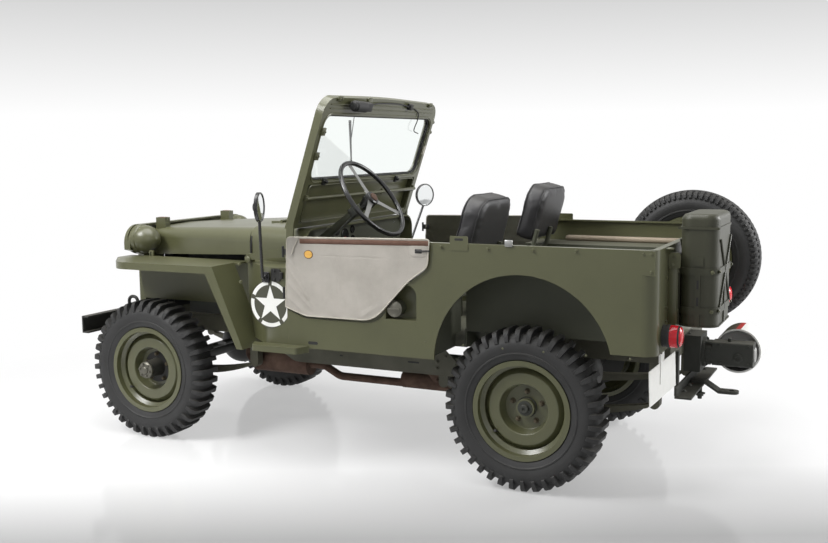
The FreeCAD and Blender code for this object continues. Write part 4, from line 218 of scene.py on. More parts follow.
pebble, pebble_in, pebble_out, spot = start_relief("pebble", 420.0)
cell = add_node(pebble, "ShaderNodeTexVoronoi", feature="SMOOTH_F1")
pebble.links.new(spot.outputs["Object"], cell.inputs["Vector"])
pebble.links.new(pebble_in.outputs["Size"], cell.inputs["Scale"])
bumped(pebble, remap(pebble, cell.outputs["Distance"], 0.0, 0.7, 1, 0), pebble_in, pebble_out)

# %% The group "weave"
weave, weave_in, weave_out, spot = start_relief("weave", 420.0)
threads = []
for direction in ("X", "Z"):
    thread = add_node(weave, "ShaderNodeTexWave", wave_type="BANDS", bands_direction=direction,
                      Distortion=0.6)
    weave.links.new(spot.outputs["Object"], thread.inputs["Vector"])
    weave.links.new(weave_in.outputs["Size"], thread.inputs["Scale"])
    threads.append(thread.outputs["Fac"])
crossing = calculate(weave, "MULTIPLY", threads[0], threads[1])
slub = add_node(weave, "ShaderNodeTexNoise", Scale=90.0, Detail=3.0)
weave.links.new(spot.outputs["Object"], slub.inputs["Vector"])
uneven = calculate(weave, "MULTIPLY", remap(weave, slub.outputs["Fac"], 0.3, 0.7, 0.4, 1), crossing)
bumped(weave, uneven, weave_in, weave_out)
print("relief groups ready")

# %% [markdown]
# ## Finishes
# One function builds a finish: it places the aged surface and one relief group in a material and
# joins them to the Principled shader. The plain numbers, such as metal, stay on the shader itself.
# The olive is the dull green brown of army vehicles; it is semi matt, so light spreads over it.

# %% The finish builder


def finish(name, color, rough, metal=0.0, cloud=(4.0, 0.3), dust=0.15, edge=0.2, edge_color=None,
           relief=None, size=300.0, depth=0.15, coat=0.0, dust_color=(0.2, 0.18, 0.13)):
    """A painted, moulded, cast or sewn finish made from the shared groups."""
    made = bpy.data.materials.new(name)
    made.use_nodes = True
    tree = made.node_tree
    shader = tree.nodes["Principled BSDF"]
    skin = add_node(tree, "ShaderNodeGroup", node_tree=aged)
    # A lighter tone of the finish for its edges: worn edges and a painted highlight
    wear_and_highlight_color = edge_color or [min(1.0, channel * 1.9 + 0.01) for channel in color]
    values = {"Color": (*color, 1), "Cloud Size": cloud[0], "Cloud": cloud[1], "Dust": dust,
              "Dust Color": (*dust_color, 1), "Edge": edge, "Edge Color": (*wear_and_highlight_color, 1), "Roughness": rough}
    for label, value in values.items():
        skin.inputs[label].default_value = value
    tree.links.new(skin.outputs["Color"], shader.inputs["Base Color"])
    tree.links.new(skin.outputs["Roughness"], shader.inputs["Roughness"])
    shader.inputs["Metallic"].default_value = metal
    shader.inputs["Coat Weight"].default_value = coat
    shader.inputs["Coat Roughness"].default_value = 0.25
    texture = add_node(tree, "ShaderNodeGroup", node_tree=relief or grain)
    texture.inputs["Size"].default_value = size
    texture.inputs["Depth"].default_value = depth
    tree.links.new(texture.outputs["Normal"], shader.inputs["Normal"])
    made.diffuse_color = (*color, 1)
    return made


OLIVE = (0.088, 0.090, 0.044)
olive = finish("olive_paint", OLIVE, 0.30, dust=0.08, edge=0.5, size=520.0, depth=0.04, coat=0.25)
# A much darker copy of the olive: painted shade on the can, its rack and the pulley's band
deep_shade_olive = finish("olive_deep_painted_shade", (0.036, 0.037, 0.020), 0.45, dust=0.1, edge=0.3, size=520.0,
                    depth=0.05)
frame_olive = finish("olive_frame_paint", (0.082, 0.08, 0.056), 0.6, cloud=(7.0, 0.6), dust=0.3, edge=0.3,
                     size=260.0, depth=0.25)
hub_metal = finish("hub_metal", (0.15, 0.145, 0.12), 0.36, metal=0.7, cloud=(30.0, 0.5), dust=0.05, edge=0.3,
                   depth=0.15)
nut_brown = finish("nut_brown", (0.10, 0.082, 0.052), 0.5, metal=0.3, cloud=(60.0, 0.6), dust=0.05, edge=0.4,
                   depth=0.2)
# A darker copy of the olive for parts inside and under the body: a painted shade
inside_shade_olive = finish("olive_inside_painted_shade", (0.062, 0.066, 0.043), 0.55, dust=0.3, edge=0.25, size=420.0,
                     depth=0.1)
chassis_black = finish("chassis_black", (0.018, 0.018, 0.016), 0.55, dust=0.25, edge=0.3, depth=0.3)
cast_grey = finish("cast_iron_paint", (0.03, 0.032, 0.026), 0.6, dust=0.3, edge=0.3, size=220.0, depth=0.6)
bare_steel = finish("bare_steel", (0.42, 0.42, 0.41), 0.34, metal=1.0, cloud=(20.0, 0.4), dust=0.05,
                    depth=0.2)
rust = finish("rusty_pipe", (0.105, 0.062, 0.044), 0.8, metal=0.2, cloud=(16.0, 0.9), dust=0.1, edge=0.2,
              edge_color=(0.2, 0.1, 0.05), size=160.0, depth=0.7)
black_gloss = finish("black_enamel", (0.012, 0.012, 0.012), 0.22, dust=0.04, edge=0.15, depth=0.05, coat=0.3)
black_matt = finish("black_matt", (0.016, 0.016, 0.016), 0.6, dust=0.15, edge=0.15, depth=0.3)
# White paint; on the belt pulley it stands for a painted highlight
white_paint_and_highlight = finish("white_paint_and_highlight", (0.8, 0.8, 0.77), 0.45, cloud=(30.0, 0.12), dust=0.1, edge=0.1,
                     edge_color=(0.5, 0.5, 0.48), depth=0.06)
red_paint = finish("red_paint", (0.42, 0.02, 0.015), 0.4, dust=0.05, edge=0.1, depth=0.05)
amber = finish("amber_patch", (0.75, 0.42, 0.09), 0.5, cloud=(60.0, 0.3), dust=0.0, edge=0.0, depth=0.1)
print("finishes", len(bpy.data.materials))

# %% [markdown]
# ## Rubber, cloth, vinyl, glass
# Tyre rubber is dark grey with a dusty bloom, not black. The door canvas is a tight grey beige
# weave outside and dark olive inside. The glass keeps plain transmission.

# %% Rubber, canvas and vinyl
rubber = finish("tyre_rubber", (0.022, 0.022, 0.022), 0.62, cloud=(9.0, 0.5), dust=0.12, edge=0.25,
                edge_color=(0.075, 0.073, 0.07), size=260.0, depth=0.25)
canvas = finish("door_canvas", (0.44, 0.412, 0.37), 0.92, cloud=(7.0, 0.4), dust=0.0, edge=0.1, relief=weave,
                size=330.0, depth=0.55)
piping = finish("canvas_piping", (0.52, 0.49, 0.42), 0.9, cloud=(20.0, 0.3), dust=0.0, edge=0.0, relief=weave,
                size=420.0, depth=0.5)
inner_canvas = finish("door_canvas_inside", (0.052, 0.050, 0.032), 0.5, cloud=(12.0, 0.5), dust=0.0, edge=0.1,
                      relief=weave, size=330.0, depth=0.3)
brown_band = finish("brown_band", (0.13, 0.065, 0.042), 0.75, cloud=(40.0, 0.5), dust=0.0, edge=0.1,
                    relief=weave, size=240.0, depth=0.5)
vinyl = finish("black_vinyl", (0.02, 0.0195, 0.021), 0.4, cloud=(8.0, 0.2), dust=0.16, edge=0.0,
               relief=pebble, size=700.0, depth=0.35)
tan_pad = finish("tan_bench", (0.33, 0.27, 0.2), 0.6, cloud=(6.0, 0.4), dust=0.1, edge=0.1, relief=grain,
                 size=180.0, depth=0.3)


# %% Glass and lamp lenses


def clear_finish(name, color, rough, clearness):
    """Glass or a coloured lens: plain transmission, with faint dust only in its roughness."""
    made = bpy.data.materials.new(name)
    made.use_nodes = True
    tree = made.node_tree
    shader = tree.nodes["Principled BSDF"]
    shader.inputs["Base Color"].default_value = (*color, 1)
    shader.inputs["Transmission Weight"].default_value = clearness
    shader.inputs["IOR"].default_value = 1.45
    film = add_node(tree, "ShaderNodeTexNoise", Scale=14.0, Detail=4.0)
    dusty_rough = remap(tree, film.outputs["Fac"], 0.3, 0.8, rough, rough + 0.05)
    tree.links.new(dusty_rough, shader.inputs["Roughness"])
    return made


window_glass = clear_finish("window_glass", (0.93, 0.97, 0.95), 0.0, 1.0)
lamp_glass = clear_finish("lamp_glass", (0.9, 0.93, 0.92), 0.03, 0.85)
red_lens = clear_finish("red_lens", (0.8, 0.015, 0.03), 0.08, 0.25)
mirror_glass = bpy.data.materials.new("mirror_glass")
mirror_glass.use_nodes = True
silver = mirror_glass.node_tree.nodes["Principled BSDF"]
silver.inputs["Base Color"].default_value = (0.86, 0.88, 0.88, 1)
silver.inputs["Metallic"].default_value = 1.0
smear = add_node(mirror_glass.node_tree, "ShaderNodeTexNoise", Scale=25.0)
smeared = remap(mirror_glass.node_tree, smear.outputs["Fac"], 0.3, 0.8, 0.02, 0.07)
mirror_glass.node_tree.links.new(smeared, silver.inputs["Roughness"])
print("clear finishes ready")

# %% [markdown]
# ## The packed panels get their finishes
# Each node keeps its own shape. Only its material slot is filled, by a table of finish and node.

# %% Finish of every packed node
wheel_ends = ["front_left", "front_right", "rear_left", "rear_right"]
panel_finishes = [
    (olive, ["tub_side_left", "tub_side_right", "tail_panel", "cowl", "hood", "grille", "head_lamps",
             "fender_left", "fender_right", "windscreen_frame", "side_steps", "spare_wheel", "spare_carrier",
             *("wheel_" + end for end in wheel_ends)]),
    # Parts inside and under the body take the olive with a painted shade
    (inside_shade_olive, ["wheelhouses", "floor", "dash_panel", "seat_frames", "fuel_filler", "column_and_levers"]),
    (frame_olive, ["chassis_frame", "leaf_springs"]),
    # The can and its rack are darkened by a painted shade
    (deep_shade_olive, ["fuel_can", "can_rack"]),
    (chassis_black, ["front_bumper", "front_axle", "rear_axle", "knuckle_left", "knuckle_right", "tie_rod"]),
    (cast_grey, ["power_train", "power_take_off", "drawbar"]),
    (black_matt, ["radiator", "tail_lamps"]),
    (black_gloss, ["steering_wheel", "mirrors"]),
    (rust, ["exhaust"]),
    # The pulley's white is a painted highlight; the plate's white is its own colour
    (white_paint_and_highlight, ["licence_plate", "belt_pulley"]),
    (rubber, ["spare_tyre", *("tyre_" + end for end in wheel_ends)]),
    (vinyl, ["driver_seat", "passenger_seat"]),
    (canvas, ["door_left", "door_right"]),
    (window_glass, ["windscreen_glass"]),
]
dressed = 0
for material, names in panel_finishes:
    for name in names:
        nodes[name].data.materials.clear()
        nodes[name].data.materials.append(material)
        dressed += 1
print("dressed nodes", dressed, "of", len(nodes))

# %% [markdown]
# ## Camera and studio
# The photograph was taken from the left rear, a little above the rail. The floor is pale and
# slightly glossy, with a painted shade that darkens it toward the camera. What the camera sees
# behind the car is a white wall with a painted shade that greys it toward its top, and the light
# is a soft sky with four soft boxes: a large one above, one high at the front left, a weak one
# from the camera's side, and one behind the car.

# %% Camera at the photograph's angle
EYE = Vector((-2.23067, 4.67389, 1.49634))
YAW, PITCH, ROLL = -1.117986, -0.124911, -0.009917
FOCAL_SHARE = 1013.94 / 828.0
SENSOR = 36.0
ahead = Vector((math.cos(PITCH) * math.cos(YAW), math.cos(PITCH) * math.sin(YAW), math.sin(PITCH)))
level = Vector((math.sin(YAW), -math.cos(YAW), 0.0))
upright = level.cross(ahead)
right = level * math.cos(ROLL) + upright * math.sin(ROLL)
above = right.cross(ahead)
lens = bpy.data.cameras.new("photo_camera")
lens.sensor_width = SENSOR
lens.lens = SENSOR * FOCAL_SHARE
camera = bpy.data.objects.new("photo_camera", lens)
bpy.context.scene.collection.objects.link(camera)
camera.matrix_world = Matrix.Translation(EYE) @ Matrix((right, above, -ahead)).transposed().to_4x4()
bpy.context.scene.camera = camera
bpy.context.scene.view_settings.view_transform = "Standard"
print("camera lens", round(lens.lens, 2))

# %% Floor, which turns into a plain glow away from the car
FLOOR_HALF = 14.0
FLOOR_WHITE = (0.92, 0.92, 0.92, 1)
# The floor is lit near this place, and glows by itself from the near to the far distance
FLOOR_MIDDLE = (0.0, 0.4, 0.0)
LIT_NEAR, LIT_FAR = 2.3, 3.6
LEAST_GLOW = 0.42
# Toward the camera a painted shade darkens the floor's glow and colour between two distances
TOWARD_EYE = (-0.4376, 0.8992, 0.0)
GREY_FROM, GREY_TO, DARKEST = 0.62, 1.455, 0.434


def grey_color(tree, value):
    """A grey colour whose three channels come from one socket."""
    node = add_node(tree, "ShaderNodeCombineColor")
    for channel in ("Red", "Green", "Blue"):
        tree.links.new(value, node.inputs[channel])
    return node.outputs[0]


def seen_rays(tree):
    """A mask that is 1 for what the camera sees, straight, through glass or in gloss."""
    ray = add_node(tree, "ShaderNodeLightPath")
    indirect = calculate(tree, "MAXIMUM", ray.outputs["Is Transmission Ray"], ray.outputs["Is Glossy Ray"])
    return calculate(tree, "MAXIMUM", ray.outputs["Is Camera Ray"], indirect)


floor_paint = bpy.data.materials.new("studio_floor")
floor_paint.use_nodes = True
floor = floor_paint.node_tree
floor_shader = floor.nodes["Principled BSDF"]
floor_shader.inputs["Roughness"].default_value = 0.09
floor_shader.inputs["Specular IOR Level"].default_value = 1.0
spot = add_node(floor, "ShaderNodeTexCoord")
shifted = add_node(floor, "ShaderNodeVectorMath", operation="DISTANCE")
shifted.inputs[1].default_value = FLOOR_MIDDLE
floor.links.new(spot.outputs["Object"], shifted.inputs[0])
away = remap(floor, shifted.outputs["Value"], LIT_NEAR, LIT_FAR, LEAST_GLOW, 1.0)
toward = add_node(floor, "ShaderNodeVectorMath", operation="DOT_PRODUCT")
toward.inputs[1].default_value = TOWARD_EYE
floor.links.new(spot.outputs["Object"], toward.inputs[0])
# A painted shade: the floor's colour and glow darken toward the camera
floor_shade_color = grey_color(floor, remap(floor, toward.outputs["Value"], GREY_FROM, GREY_TO, 1.0, DARKEST))
glow = add_node(floor, "ShaderNodeEmission", Strength=1.0)
floor.links.new(floor_shade_color, glow.inputs["Color"])
floor.links.new(blend_color(floor, 1.0, FLOOR_WHITE, floor_shade_color, "MULTIPLY"),
                floor_shader.inputs["Base Color"])
floor_mix = add_node(floor, "ShaderNodeMixShader")
floor.links.new(calculate(floor, "MULTIPLY", away, seen_rays(floor)), floor_mix.inputs[0])
floor.links.new(floor_shader.outputs[0], floor_mix.inputs[1])
floor.links.new(glow.outputs[0], floor_mix.inputs[2])
floor.links.new(floor_mix.outputs[0], floor.nodes["Material Output"].inputs["Surface"])
floor_corners = [(x * FLOOR_HALF, y * FLOOR_HALF, 0) for x, y in ((-1, -1), (1, -1), (1, 1), (-1, 1))]
floor_mesh = bpy.data.meshes.new("studio_floor")
floor_mesh.from_pydata(floor_corners, [], [(0, 1, 2, 3)])
floor_mesh.materials.append(floor_paint)
floor_sheet = bpy.data.objects.new("studio_floor", floor_mesh)
bpy.context.scene.collection.objects.link(floor_sheet)
floor_sheet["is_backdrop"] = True
print("floor", FLOOR_HALF * 2, "m wide")

# %% World light, with the pale background for the camera, gloss and glass
SKY_STRENGTH = 0.40
# A painted shade greys the wall between these two heights of the view ray
WALL_SHADE_FROM, WALL_SHADE_TO, WALL_SHADE_GREY = 0.03, 0.14, 0.66
world = bpy.data.worlds.new("studio_world")
bpy.context.scene.world = world
world.use_nodes = True
sky = world.node_tree
sky.nodes.clear()
view_ray = add_node(sky, "ShaderNodeTexCoord")
height = add_node(sky, "ShaderNodeSeparateXYZ")
sky.links.new(view_ray.outputs["Generated"], height.inputs[0])
# A painted shade greys the wall toward its top
wall_shade = remap(sky, height.outputs["Z"], WALL_SHADE_FROM, WALL_SHADE_TO, 1.0, WALL_SHADE_GREY)
shown = add_node(sky, "ShaderNodeBackground", Strength=1.0)
sky.links.new(grey_color(sky, wall_shade), shown.inputs["Color"])
lit = add_node(sky, "ShaderNodeBackground", Color=(1, 1, 1, 1), Strength=SKY_STRENGTH)
either = add_node(sky, "ShaderNodeMixShader")
sky.links.new(seen_rays(sky), either.inputs[0])
sky.links.new(lit.outputs[0], either.inputs[1])
sky.links.new(shown.outputs[0], either.inputs[2])
sky.links.new(either.outputs[0], add_node(sky, "ShaderNodeOutputWorld").inputs[0])
print("world strength", SKY_STRENGTH)

# %% Soft boxes
# Name, place, the point it looks at, side in metres and watts
SOFT_BOXES = [
    ("ceiling_box", (0.2, 0.6, 4.6), (0, 0, 0.8), 3.4, 170),
    ("side_box", (-3.6, 4.6, 3.0), (0, 0, 0.7), 2.6, 20),
    ("front_box", (2.3, 3.2, 3.9), (0.4, 0.3, 0.5), 1.8, 190),
    ("rear_box", (-4.6, -2.2, 2.4), (-1.2, 0, 0.9), 2.0, 170),
]


def soft_box(name, place, aim, side, watts):
    """A square area lamp that points at a place."""
    lamp = bpy.data.lights.new(name, "AREA")
    lamp.size = side
    lamp.energy = watts
    made = bpy.data.objects.new(name, lamp)
    bpy.context.scene.collection.objects.link(made)
    made.location = place
    made.rotation_mode = "QUATERNION"
    made.rotation_quaternion = (Vector(aim) - Vector(place)).to_track_quat("-Z", "Y")


for box in SOFT_BOXES:
    soft_box(*box)
print("soft boxes", len(SOFT_BOXES))

# %% [markdown]
# ## A small mesh workshop
# Most fittings are turned, drawn or pressed shapes. One collector gathers them: a lathe for what
# is round, a swept bar for wires and rods, a plate for what is cut from sheet, and a block whose
# edges are rounded. The collected shapes become one piece, so that a wheel's five nuts are one
# object with one finish, as they would be in a parts list.

# %% Directions, circles and the collector
SIDES = (("left", 1), ("right", -1))
REARWARD, FORWARD = Vector((-1, 0, 0)), Vector((1, 0, 0))
LEFTWARD, UPWARD = Vector((0, 1, 0)), Vector((0, 0, 1))
# Shares of a radius: the chamfer at the ends of a rod, and the washer under a bolt's head
ROD_CHAMFER, WASHER = 0.15, 1.45
BALL_STEPS = 10


def polar(radius, turn):
    """A place in a plane from its distance and its angle."""
    return radius * math.cos(turn), radius * math.sin(turn)


class Workshop:
    """Gathers simple solids in one mesh, in metres, in the frame of the car."""

    def __init__(self):
        self.mesh = bmesh.new()

    def place(self, points, faces):
        """Add points and the faces between them, and return the new vertices."""
        made = [self.mesh.verts.new(point) for point in points]
        for face in faces:
            self.mesh.faces.new([made[index] for index in face])
        return made

    def grid(self, rows, around=True, capped=False):
        """Rows of points joined into quads; around closes each row on itself."""
        count = len(rows[0])
        last = count if around else count - 1
        faces = []
        for row in range(len(rows) - 1):
            for column in range(last):
                after = (column + 1) % count
                faces.append((row * count + column, row * count + after, (row + 1) * count + after,
                              (row + 1) * count + column))
        if capped:
            faces.append(tuple(reversed(range(count))))
            faces.append(tuple((len(rows) - 1) * count + column for column in range(count)))
        self.place([point for row in rows for point in row], faces)

    def lathe(self, centre, axis, profile, sides=32, closed=False):
        """Turn a profile of (along the axis, radius) about an axis through a centre."""
        frame_of = axis_frame(axis)
        rows = []
        for along, radius in profile:
            rows.append([Vector(centre) + frame_of @ Vector((*polar(radius, turn), along))
                         for turn in turns(sides)])
        if closed:
            rows.append(rows[0])
            self.grid(rows)
            bmesh.ops.remove_doubles(self.mesh, verts=self.mesh.verts, dist=1e-6)
        else:
            self.grid(rows, capped=True)

    def rod(self, start, end, radius, sides=14):
        """A round bar from one place to another, with its ends chamfered."""
        start, end = Vector(start), Vector(end)
        length = (end - start).length
        cut = radius * ROD_CHAMFER
        self.lathe(start, end - start, [(0, radius - cut), (cut, radius), (length - cut, radius),
                                        (length, radius - cut)], sides)

    def wire(self, path, radius, sides=10, smooth=6):
        """A round bar along corners, which are rounded by a Catmull curve."""
        line = [Vector(point) for point in path]
        if smooth:
            line = soft_line(line, smooth)
        rows = []
        side = None
        for index, point in enumerate(line):
            ahead_of = line[min(index + 1, len(line) - 1)] - line[max(index - 1, 0)]
            ahead_of.normalize()
            side = side or (Vector((0.13, 0.21, 0.97)).cross(ahead_of)).normalized()
            side = (side - ahead_of * side.dot(ahead_of)).normalized()
            over = ahead_of.cross(side)
            rows.append([point + (side * math.cos(turn) + over * math.sin(turn)) * radius
                         for turn in turns(sides)])
        self.grid(rows, capped=True)

    def block(self, low, high, bevel=0.002, turn=None):
        """A box with rounded edges; turn is a matrix applied about the box's centre."""
        low, high = Vector(low), Vector(high)
        centre, half = (low + high) / 2, (high - low) / 2
        signs = [(x, y, z) for x in (-1, 1) for y in (-1, 1) for z in (-1, 1)]
        points = [Vector((x * half.x, y * half.y, z * half.z)) for x, y, z in signs]
        points = [centre + (turn @ point if turn else point) for point in points]
        made = self.place(points, [(0, 1, 3, 2), (4, 6, 7, 5), (0, 4, 5, 1), (2, 3, 7, 6), (0, 2, 6, 4),
                                   (1, 5, 7, 3)])
        if bevel:
            # A dict keeps the edges in a fixed order, so that each run gives the same mesh
            edges = list(dict.fromkeys(edge for vertex in made for edge in vertex.link_edges))
            bmesh.ops.bevel(self.mesh, geom=edges, offset=bevel, segments=2, affect="EDGES", profile=0.5)

    def plate(self, outline, origin, across, up, thick):
        """A flat outline of (across, up) pairs, given a thickness along across x up."""
        across, up = Vector(across).normalized(), Vector(up).normalized()
        out = across.cross(up)
        front = [Vector(origin) + across * a + up * b for a, b in outline]
        back = [point + out * thick for point in front]
        self.grid([front, back], capped=True)

    def bolt(self, centre, axis, radius, tall):
        """A hexagon head on a round washer."""
        self.lathe(centre, axis, [(0, radius * WASHER), (tall * 0.25, radius * WASHER)], 20)
        head = Vector(centre) + Vector(axis).normalized() * tall * 0.2
        self.lathe(head, axis, [(0, radius), (tall * 0.7, radius), (tall * 0.8, radius * 0.82)], 6)

    def ball(self, centre, radius, flat=1.0, axis=(0, 0, 1), sides=20):
        """A ball or a flattened dome, turned about an axis."""
        lifts = [(step / BALL_STEPS - 0.5) * math.pi for step in range(BALL_STEPS + 1)]
        profile = [(math.sin(lift) * radius * flat, max(math.cos(lift) * radius, radius * 0.02))
                   for lift in lifts]
        self.lathe(centre, axis, profile, sides)


def turns(sides, start=0.0):
    """Evenly spaced angles round a circle."""
    return [start + math.tau * step / sides for step in range(sides)]


def axis_frame(axis):
    """A rotation whose third axis points along the given one."""
    return Vector(axis).normalized().to_track_quat("Z", "Y").to_matrix()


def soft_line(points, steps):
    """A Catmull curve through points, so that a bent wire has no corners."""
    line = []
    ends = [points[0] * 2 - points[1], *points, points[-1] * 2 - points[-2]]
    for index in range(len(points) - 1):
        a, b, c, e = ends[index:index + 4]
        for step in range(steps):
            t = step / steps
            line.append((b * 2 + (c - a) * t + (a * 2 - b * 5 + c * 4 - e) * t * t
                         + (b * 3 - a - c * 3 + e) * t * t * t) / 2)
    return [*line, points[-1]]


def rounded_outline(width, height, radius, steps=5):
    """The corners of a rounded rectangle about zero, as (across, up) pairs."""
    outline = []
    for quarter in range(4):
        sign_x = 1 if quarter in (0, 3) else -1
        sign_y = 1 if quarter < 2 else -1
        for step in range(steps + 1):
            turn = math.pi / 2 * (quarter + step / steps)
            outline.append((sign_x * (width / 2 - radius) + radius * math.cos(turn),
                            sign_y * (height / 2 - radius) + radius * math.sin(turn)))
    return outline


print("workshop tools", len([name for name in vars(Workshop) if not name.startswith("_")]))

# %% Turning a workshop into a piece


def piece(name, shop, material, body="car", smooth=38, replaces=()):
    """Make one named object from a workshop, ride it on a body and give it its finish."""
    bmesh.ops.recalc_face_normals(shop.mesh, faces=shop.mesh.faces)
    mesh = bpy.data.meshes.new(name)
    shop.mesh.to_mesh(mesh)
    shop.mesh.free()
    mesh.materials.append(material)
    mesh.polygons.foreach_set("use_smooth", [True] * len(mesh.polygons))
    mesh.set_sharp_from_angle(angle=math.radians(smooth))
    made = bpy.data.objects.new(name, mesh)
    bpy.context.scene.collection.objects.link(made)
    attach(made, body)
    if replaces:
        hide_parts(*replaces)
    return made


print("a piece rides on one body and has one finish")

# %% [markdown]
# ## Military tyres
# The tyre of such a car has a smooth rounded wall and heavy bars across the tread that run down
# over the shoulder, half a step apart on the two sides. The carcass is a lathe shape. Each bar is
# lofted from cross-sections that follow the shoulder, so its flanks lean as moulded rubber does.
# A texture could fake the bars, but the outline against the floor would stay round.

# %% Tyre carcass
TYRE_RADIUS = 0.358
# The wall from the middle of the tread to the bead, as (radius, across)
WALL = [(0.336, 0.0), (0.336, 0.030), (0.334, 0.048), (0.328, 0.0575), (0.317, 0.0665), (0.303, 0.0755),
        (0.292, 0.0795), (0.272, 0.0775), (0.2565, 0.0730), (0.2545, 0.0752), (0.2495, 0.0752),
        (0.2475, 0.0722), (0.243, 0.0705), (0.232, 0.0665), (0.2235, 0.0620), (0.2215, 0.0500),
        (0.2045, 0.0470)]
TYRE_SIDES, BARS, BAR_TURN = 96, 40, 0.04
# Sections of a bar: radius and across of its foot, the same of its top, and half its width
BAR_SECTIONS = [
    (0.333, -0.004, 0.358, -0.004, 0.0100), (0.333, 0.030, 0.358, 0.030, 0.0125),
    (0.331, 0.048, 0.3572, 0.052, 0.0130), (0.325, 0.056, 0.3510, 0.0655, 0.0128),
    (0.317, 0.064, 0.3370, 0.0745, 0.0118), (0.308, 0.0705, 0.3200, 0.0786, 0.0102),
    (0.301, 0.0745, 0.3065, 0.0797, 0.0085),
]
NUBS, NUB_TALL, NUB_RADIUS = 30, 0.0016, 0.0012
NUB_CIRCLE, NUB_FACE = 0.2975, 0.0785
CROWN_SHARE = 0.86
FRONT_AXLE, REAR_AXLE, HALF_TRACK = 1.248, -0.786, 0.613


def round_the_hub(centre, radius, turn, across):
    """A point at a radius and a turn about an axle that runs across the car."""
    x, z = polar(radius, turn)
    return Vector((centre[0] + x, centre[1] + across, centre[2] + z))


def tread_bar(shop, centre, turn, side, sections):
    """One bar from the middle of the tread over the shoulder to the wall."""
    rows = []
    for low, low_at, top, top_at, half in sections:
        base, crown = half / low, half * CROWN_SHARE / top
        rows.append([round_the_hub(centre, low, turn - base, low_at * side),
                     round_the_hub(centre, top, turn - crown, top_at * side),
                     round_the_hub(centre, top, turn + crown, top_at * side),
                     round_the_hub(centre, low, turn + base, low_at * side)])
    shop.grid(rows, capped=True)


def carcass(shop, centre, wall):
    """The closed ring of the tyre, from one bead over the tread to the other and back inside."""
    outline = [(across, radius) for radius, across in reversed(wall)] + [(-a, r) for r, a in wall[1:]]
    rows = []
    for across, radius in outline:
        rows.append([round_the_hub(centre, radius, turn, -across) for turn in turns(TYRE_SIDES)])
    rows.append(rows[0])
    shop.grid(rows)
    bmesh.ops.remove_doubles(shop.mesh, verts=shop.mesh.verts, dist=1e-6)


def vent_nubs(shop, centre, side):
    """Short whiskers that a mould leaves on the wall near the shoulder."""
    for turn in turns(NUBS, 0.05):
        base = round_the_hub(centre, NUB_CIRCLE, turn, NUB_FACE * side)
        shop.rod(base, base + Vector((0, NUB_TALL * side, 0)), NUB_RADIUS, 6)


wheel_places = {
    "front_left": (FRONT_AXLE, HALF_TRACK, TYRE_RADIUS),
    "front_right": (FRONT_AXLE, -HALF_TRACK, TYRE_RADIUS),
    "rear_left": (REAR_AXLE, HALF_TRACK, TYRE_RADIUS),
    "rear_right": (REAR_AXLE, -HALF_TRACK, TYRE_RADIUS),
}
for end, centre in wheel_places.items():
    shop = Workshop()
    carcass(shop, centre, WALL)
    for side in (-1, 1):
        for turn in turns(BARS, BAR_TURN * side + (math.pi / BARS if side > 0 else 0)):
            tread_bar(shop, centre, turn, side, BAR_SECTIONS)
        vent_nubs(shop, centre, side)
    piece("bar_tyre_" + end, shop, rubber, "wheel_" + end, replaces=("tyre_" + end,))
print("bar tyres", len(wheel_places), "with", BARS * 2, "bars each")

# %% [markdown]
# ## Spare tyre
# The spare is of another pattern: three ribs run round the tread, with short bars at the shoulder
# that stand close together. Its ribs are part of the lathe outline and only the bars are added.

# %% Spare tyre
SPARE_CENTRE = (-1.201, -0.858, 0.882)
RIBBED = [(0.357, 0.0), (0.3575, 0.012), (0.350, 0.0135), (0.350, 0.0175), (0.3575, 0.019), (0.3565, 0.034),
          (0.349, 0.0355), (0.349, 0.040), (0.346, 0.052), (0.336, 0.064), *WALL[4:]]
SHOULDER = [(0.344, 0.041, 0.3555, 0.041, 0.0085), (0.340, 0.052, 0.3545, 0.054, 0.0085),
            (0.332, 0.061, 0.3475, 0.0665, 0.0085), (0.324, 0.068, 0.3365, 0.0735, 0.0075),
            (0.314, 0.0735, 0.3210, 0.0775, 0.0065)]
SHOULDER_BARS = 72
shop = Workshop()
carcass(shop, SPARE_CENTRE, RIBBED)
for side in (-1, 1):
    for turn in turns(SHOULDER_BARS):
        tread_bar(shop, SPARE_CENTRE, turn, side, SHOULDER)
piece("spare_rib_tyre", shop, rubber, "car", replaces=("spare_tyre",))
print("spare tyre with", SHOULDER_BARS * 2, "shoulder bars")

# %% [markdown]
# ## Wheel fittings
# Five nuts hold each wheel on its hub. Seen from outside, the front wheels have a black drive
# flange with six bolts and a pressed cap, and the rear ones a bare axle end in a small ring. A
# valve stands near the rim. They are turned shapes on the axle line of each wheel.

# %% Wheel nuts, hub parts and valves
NUTS, NUT_CIRCLE, NUT_TURN = 5, 0.0699, 0.31
DISC_FACE = -0.022
DRIVE_FACE, END_FACE = 0.0800, 0.008
# Outlines of turned parts, as (along the axle, radius)
FLANGE_PROFILE = [(0, 0.0405), (0.0, 0.0425), (0.010, 0.0425), (0.0125, 0.040), (0.016, 0.036)]
CAP_OF_FLANGE = [(0, 0.0215), (0.004, 0.0210), (0.009, 0.017), (0.011, 0.009)]
SLEEVE_PROFILE = [(0, 0.0800), (0.0015, 0.0800), (0.0016, 0.0480), (0.020, 0.0450), (0.0850, 0.0440),
                  (0.0850, 0.0415), (0.0, 0.0415)]
RING_PROFILE = [(0, 0.0455), (0.004, 0.0455), (0.006, 0.0435), (0.006, 0.0412), (0.0, 0.0412)]
AXLE_END_PROFILE = [(0, 0.034), (0.003, 0.033), (0.0035, 0.020), (0.016, 0.019), (0.018, 0.0165),
                    (0.018, 0.0085), (0.013, 0.0075)]


def wheel_nut(shop, seat, out):
    """A six-sided nut on a round collar."""
    shop.lathe(seat, out, [(0, 0.0130), (0.004, 0.0112)], 20)
    shop.lathe(seat + out * 0.003, out, [(0, 0.0100), (0.011, 0.0100), (0.0135, 0.0082)], 6)


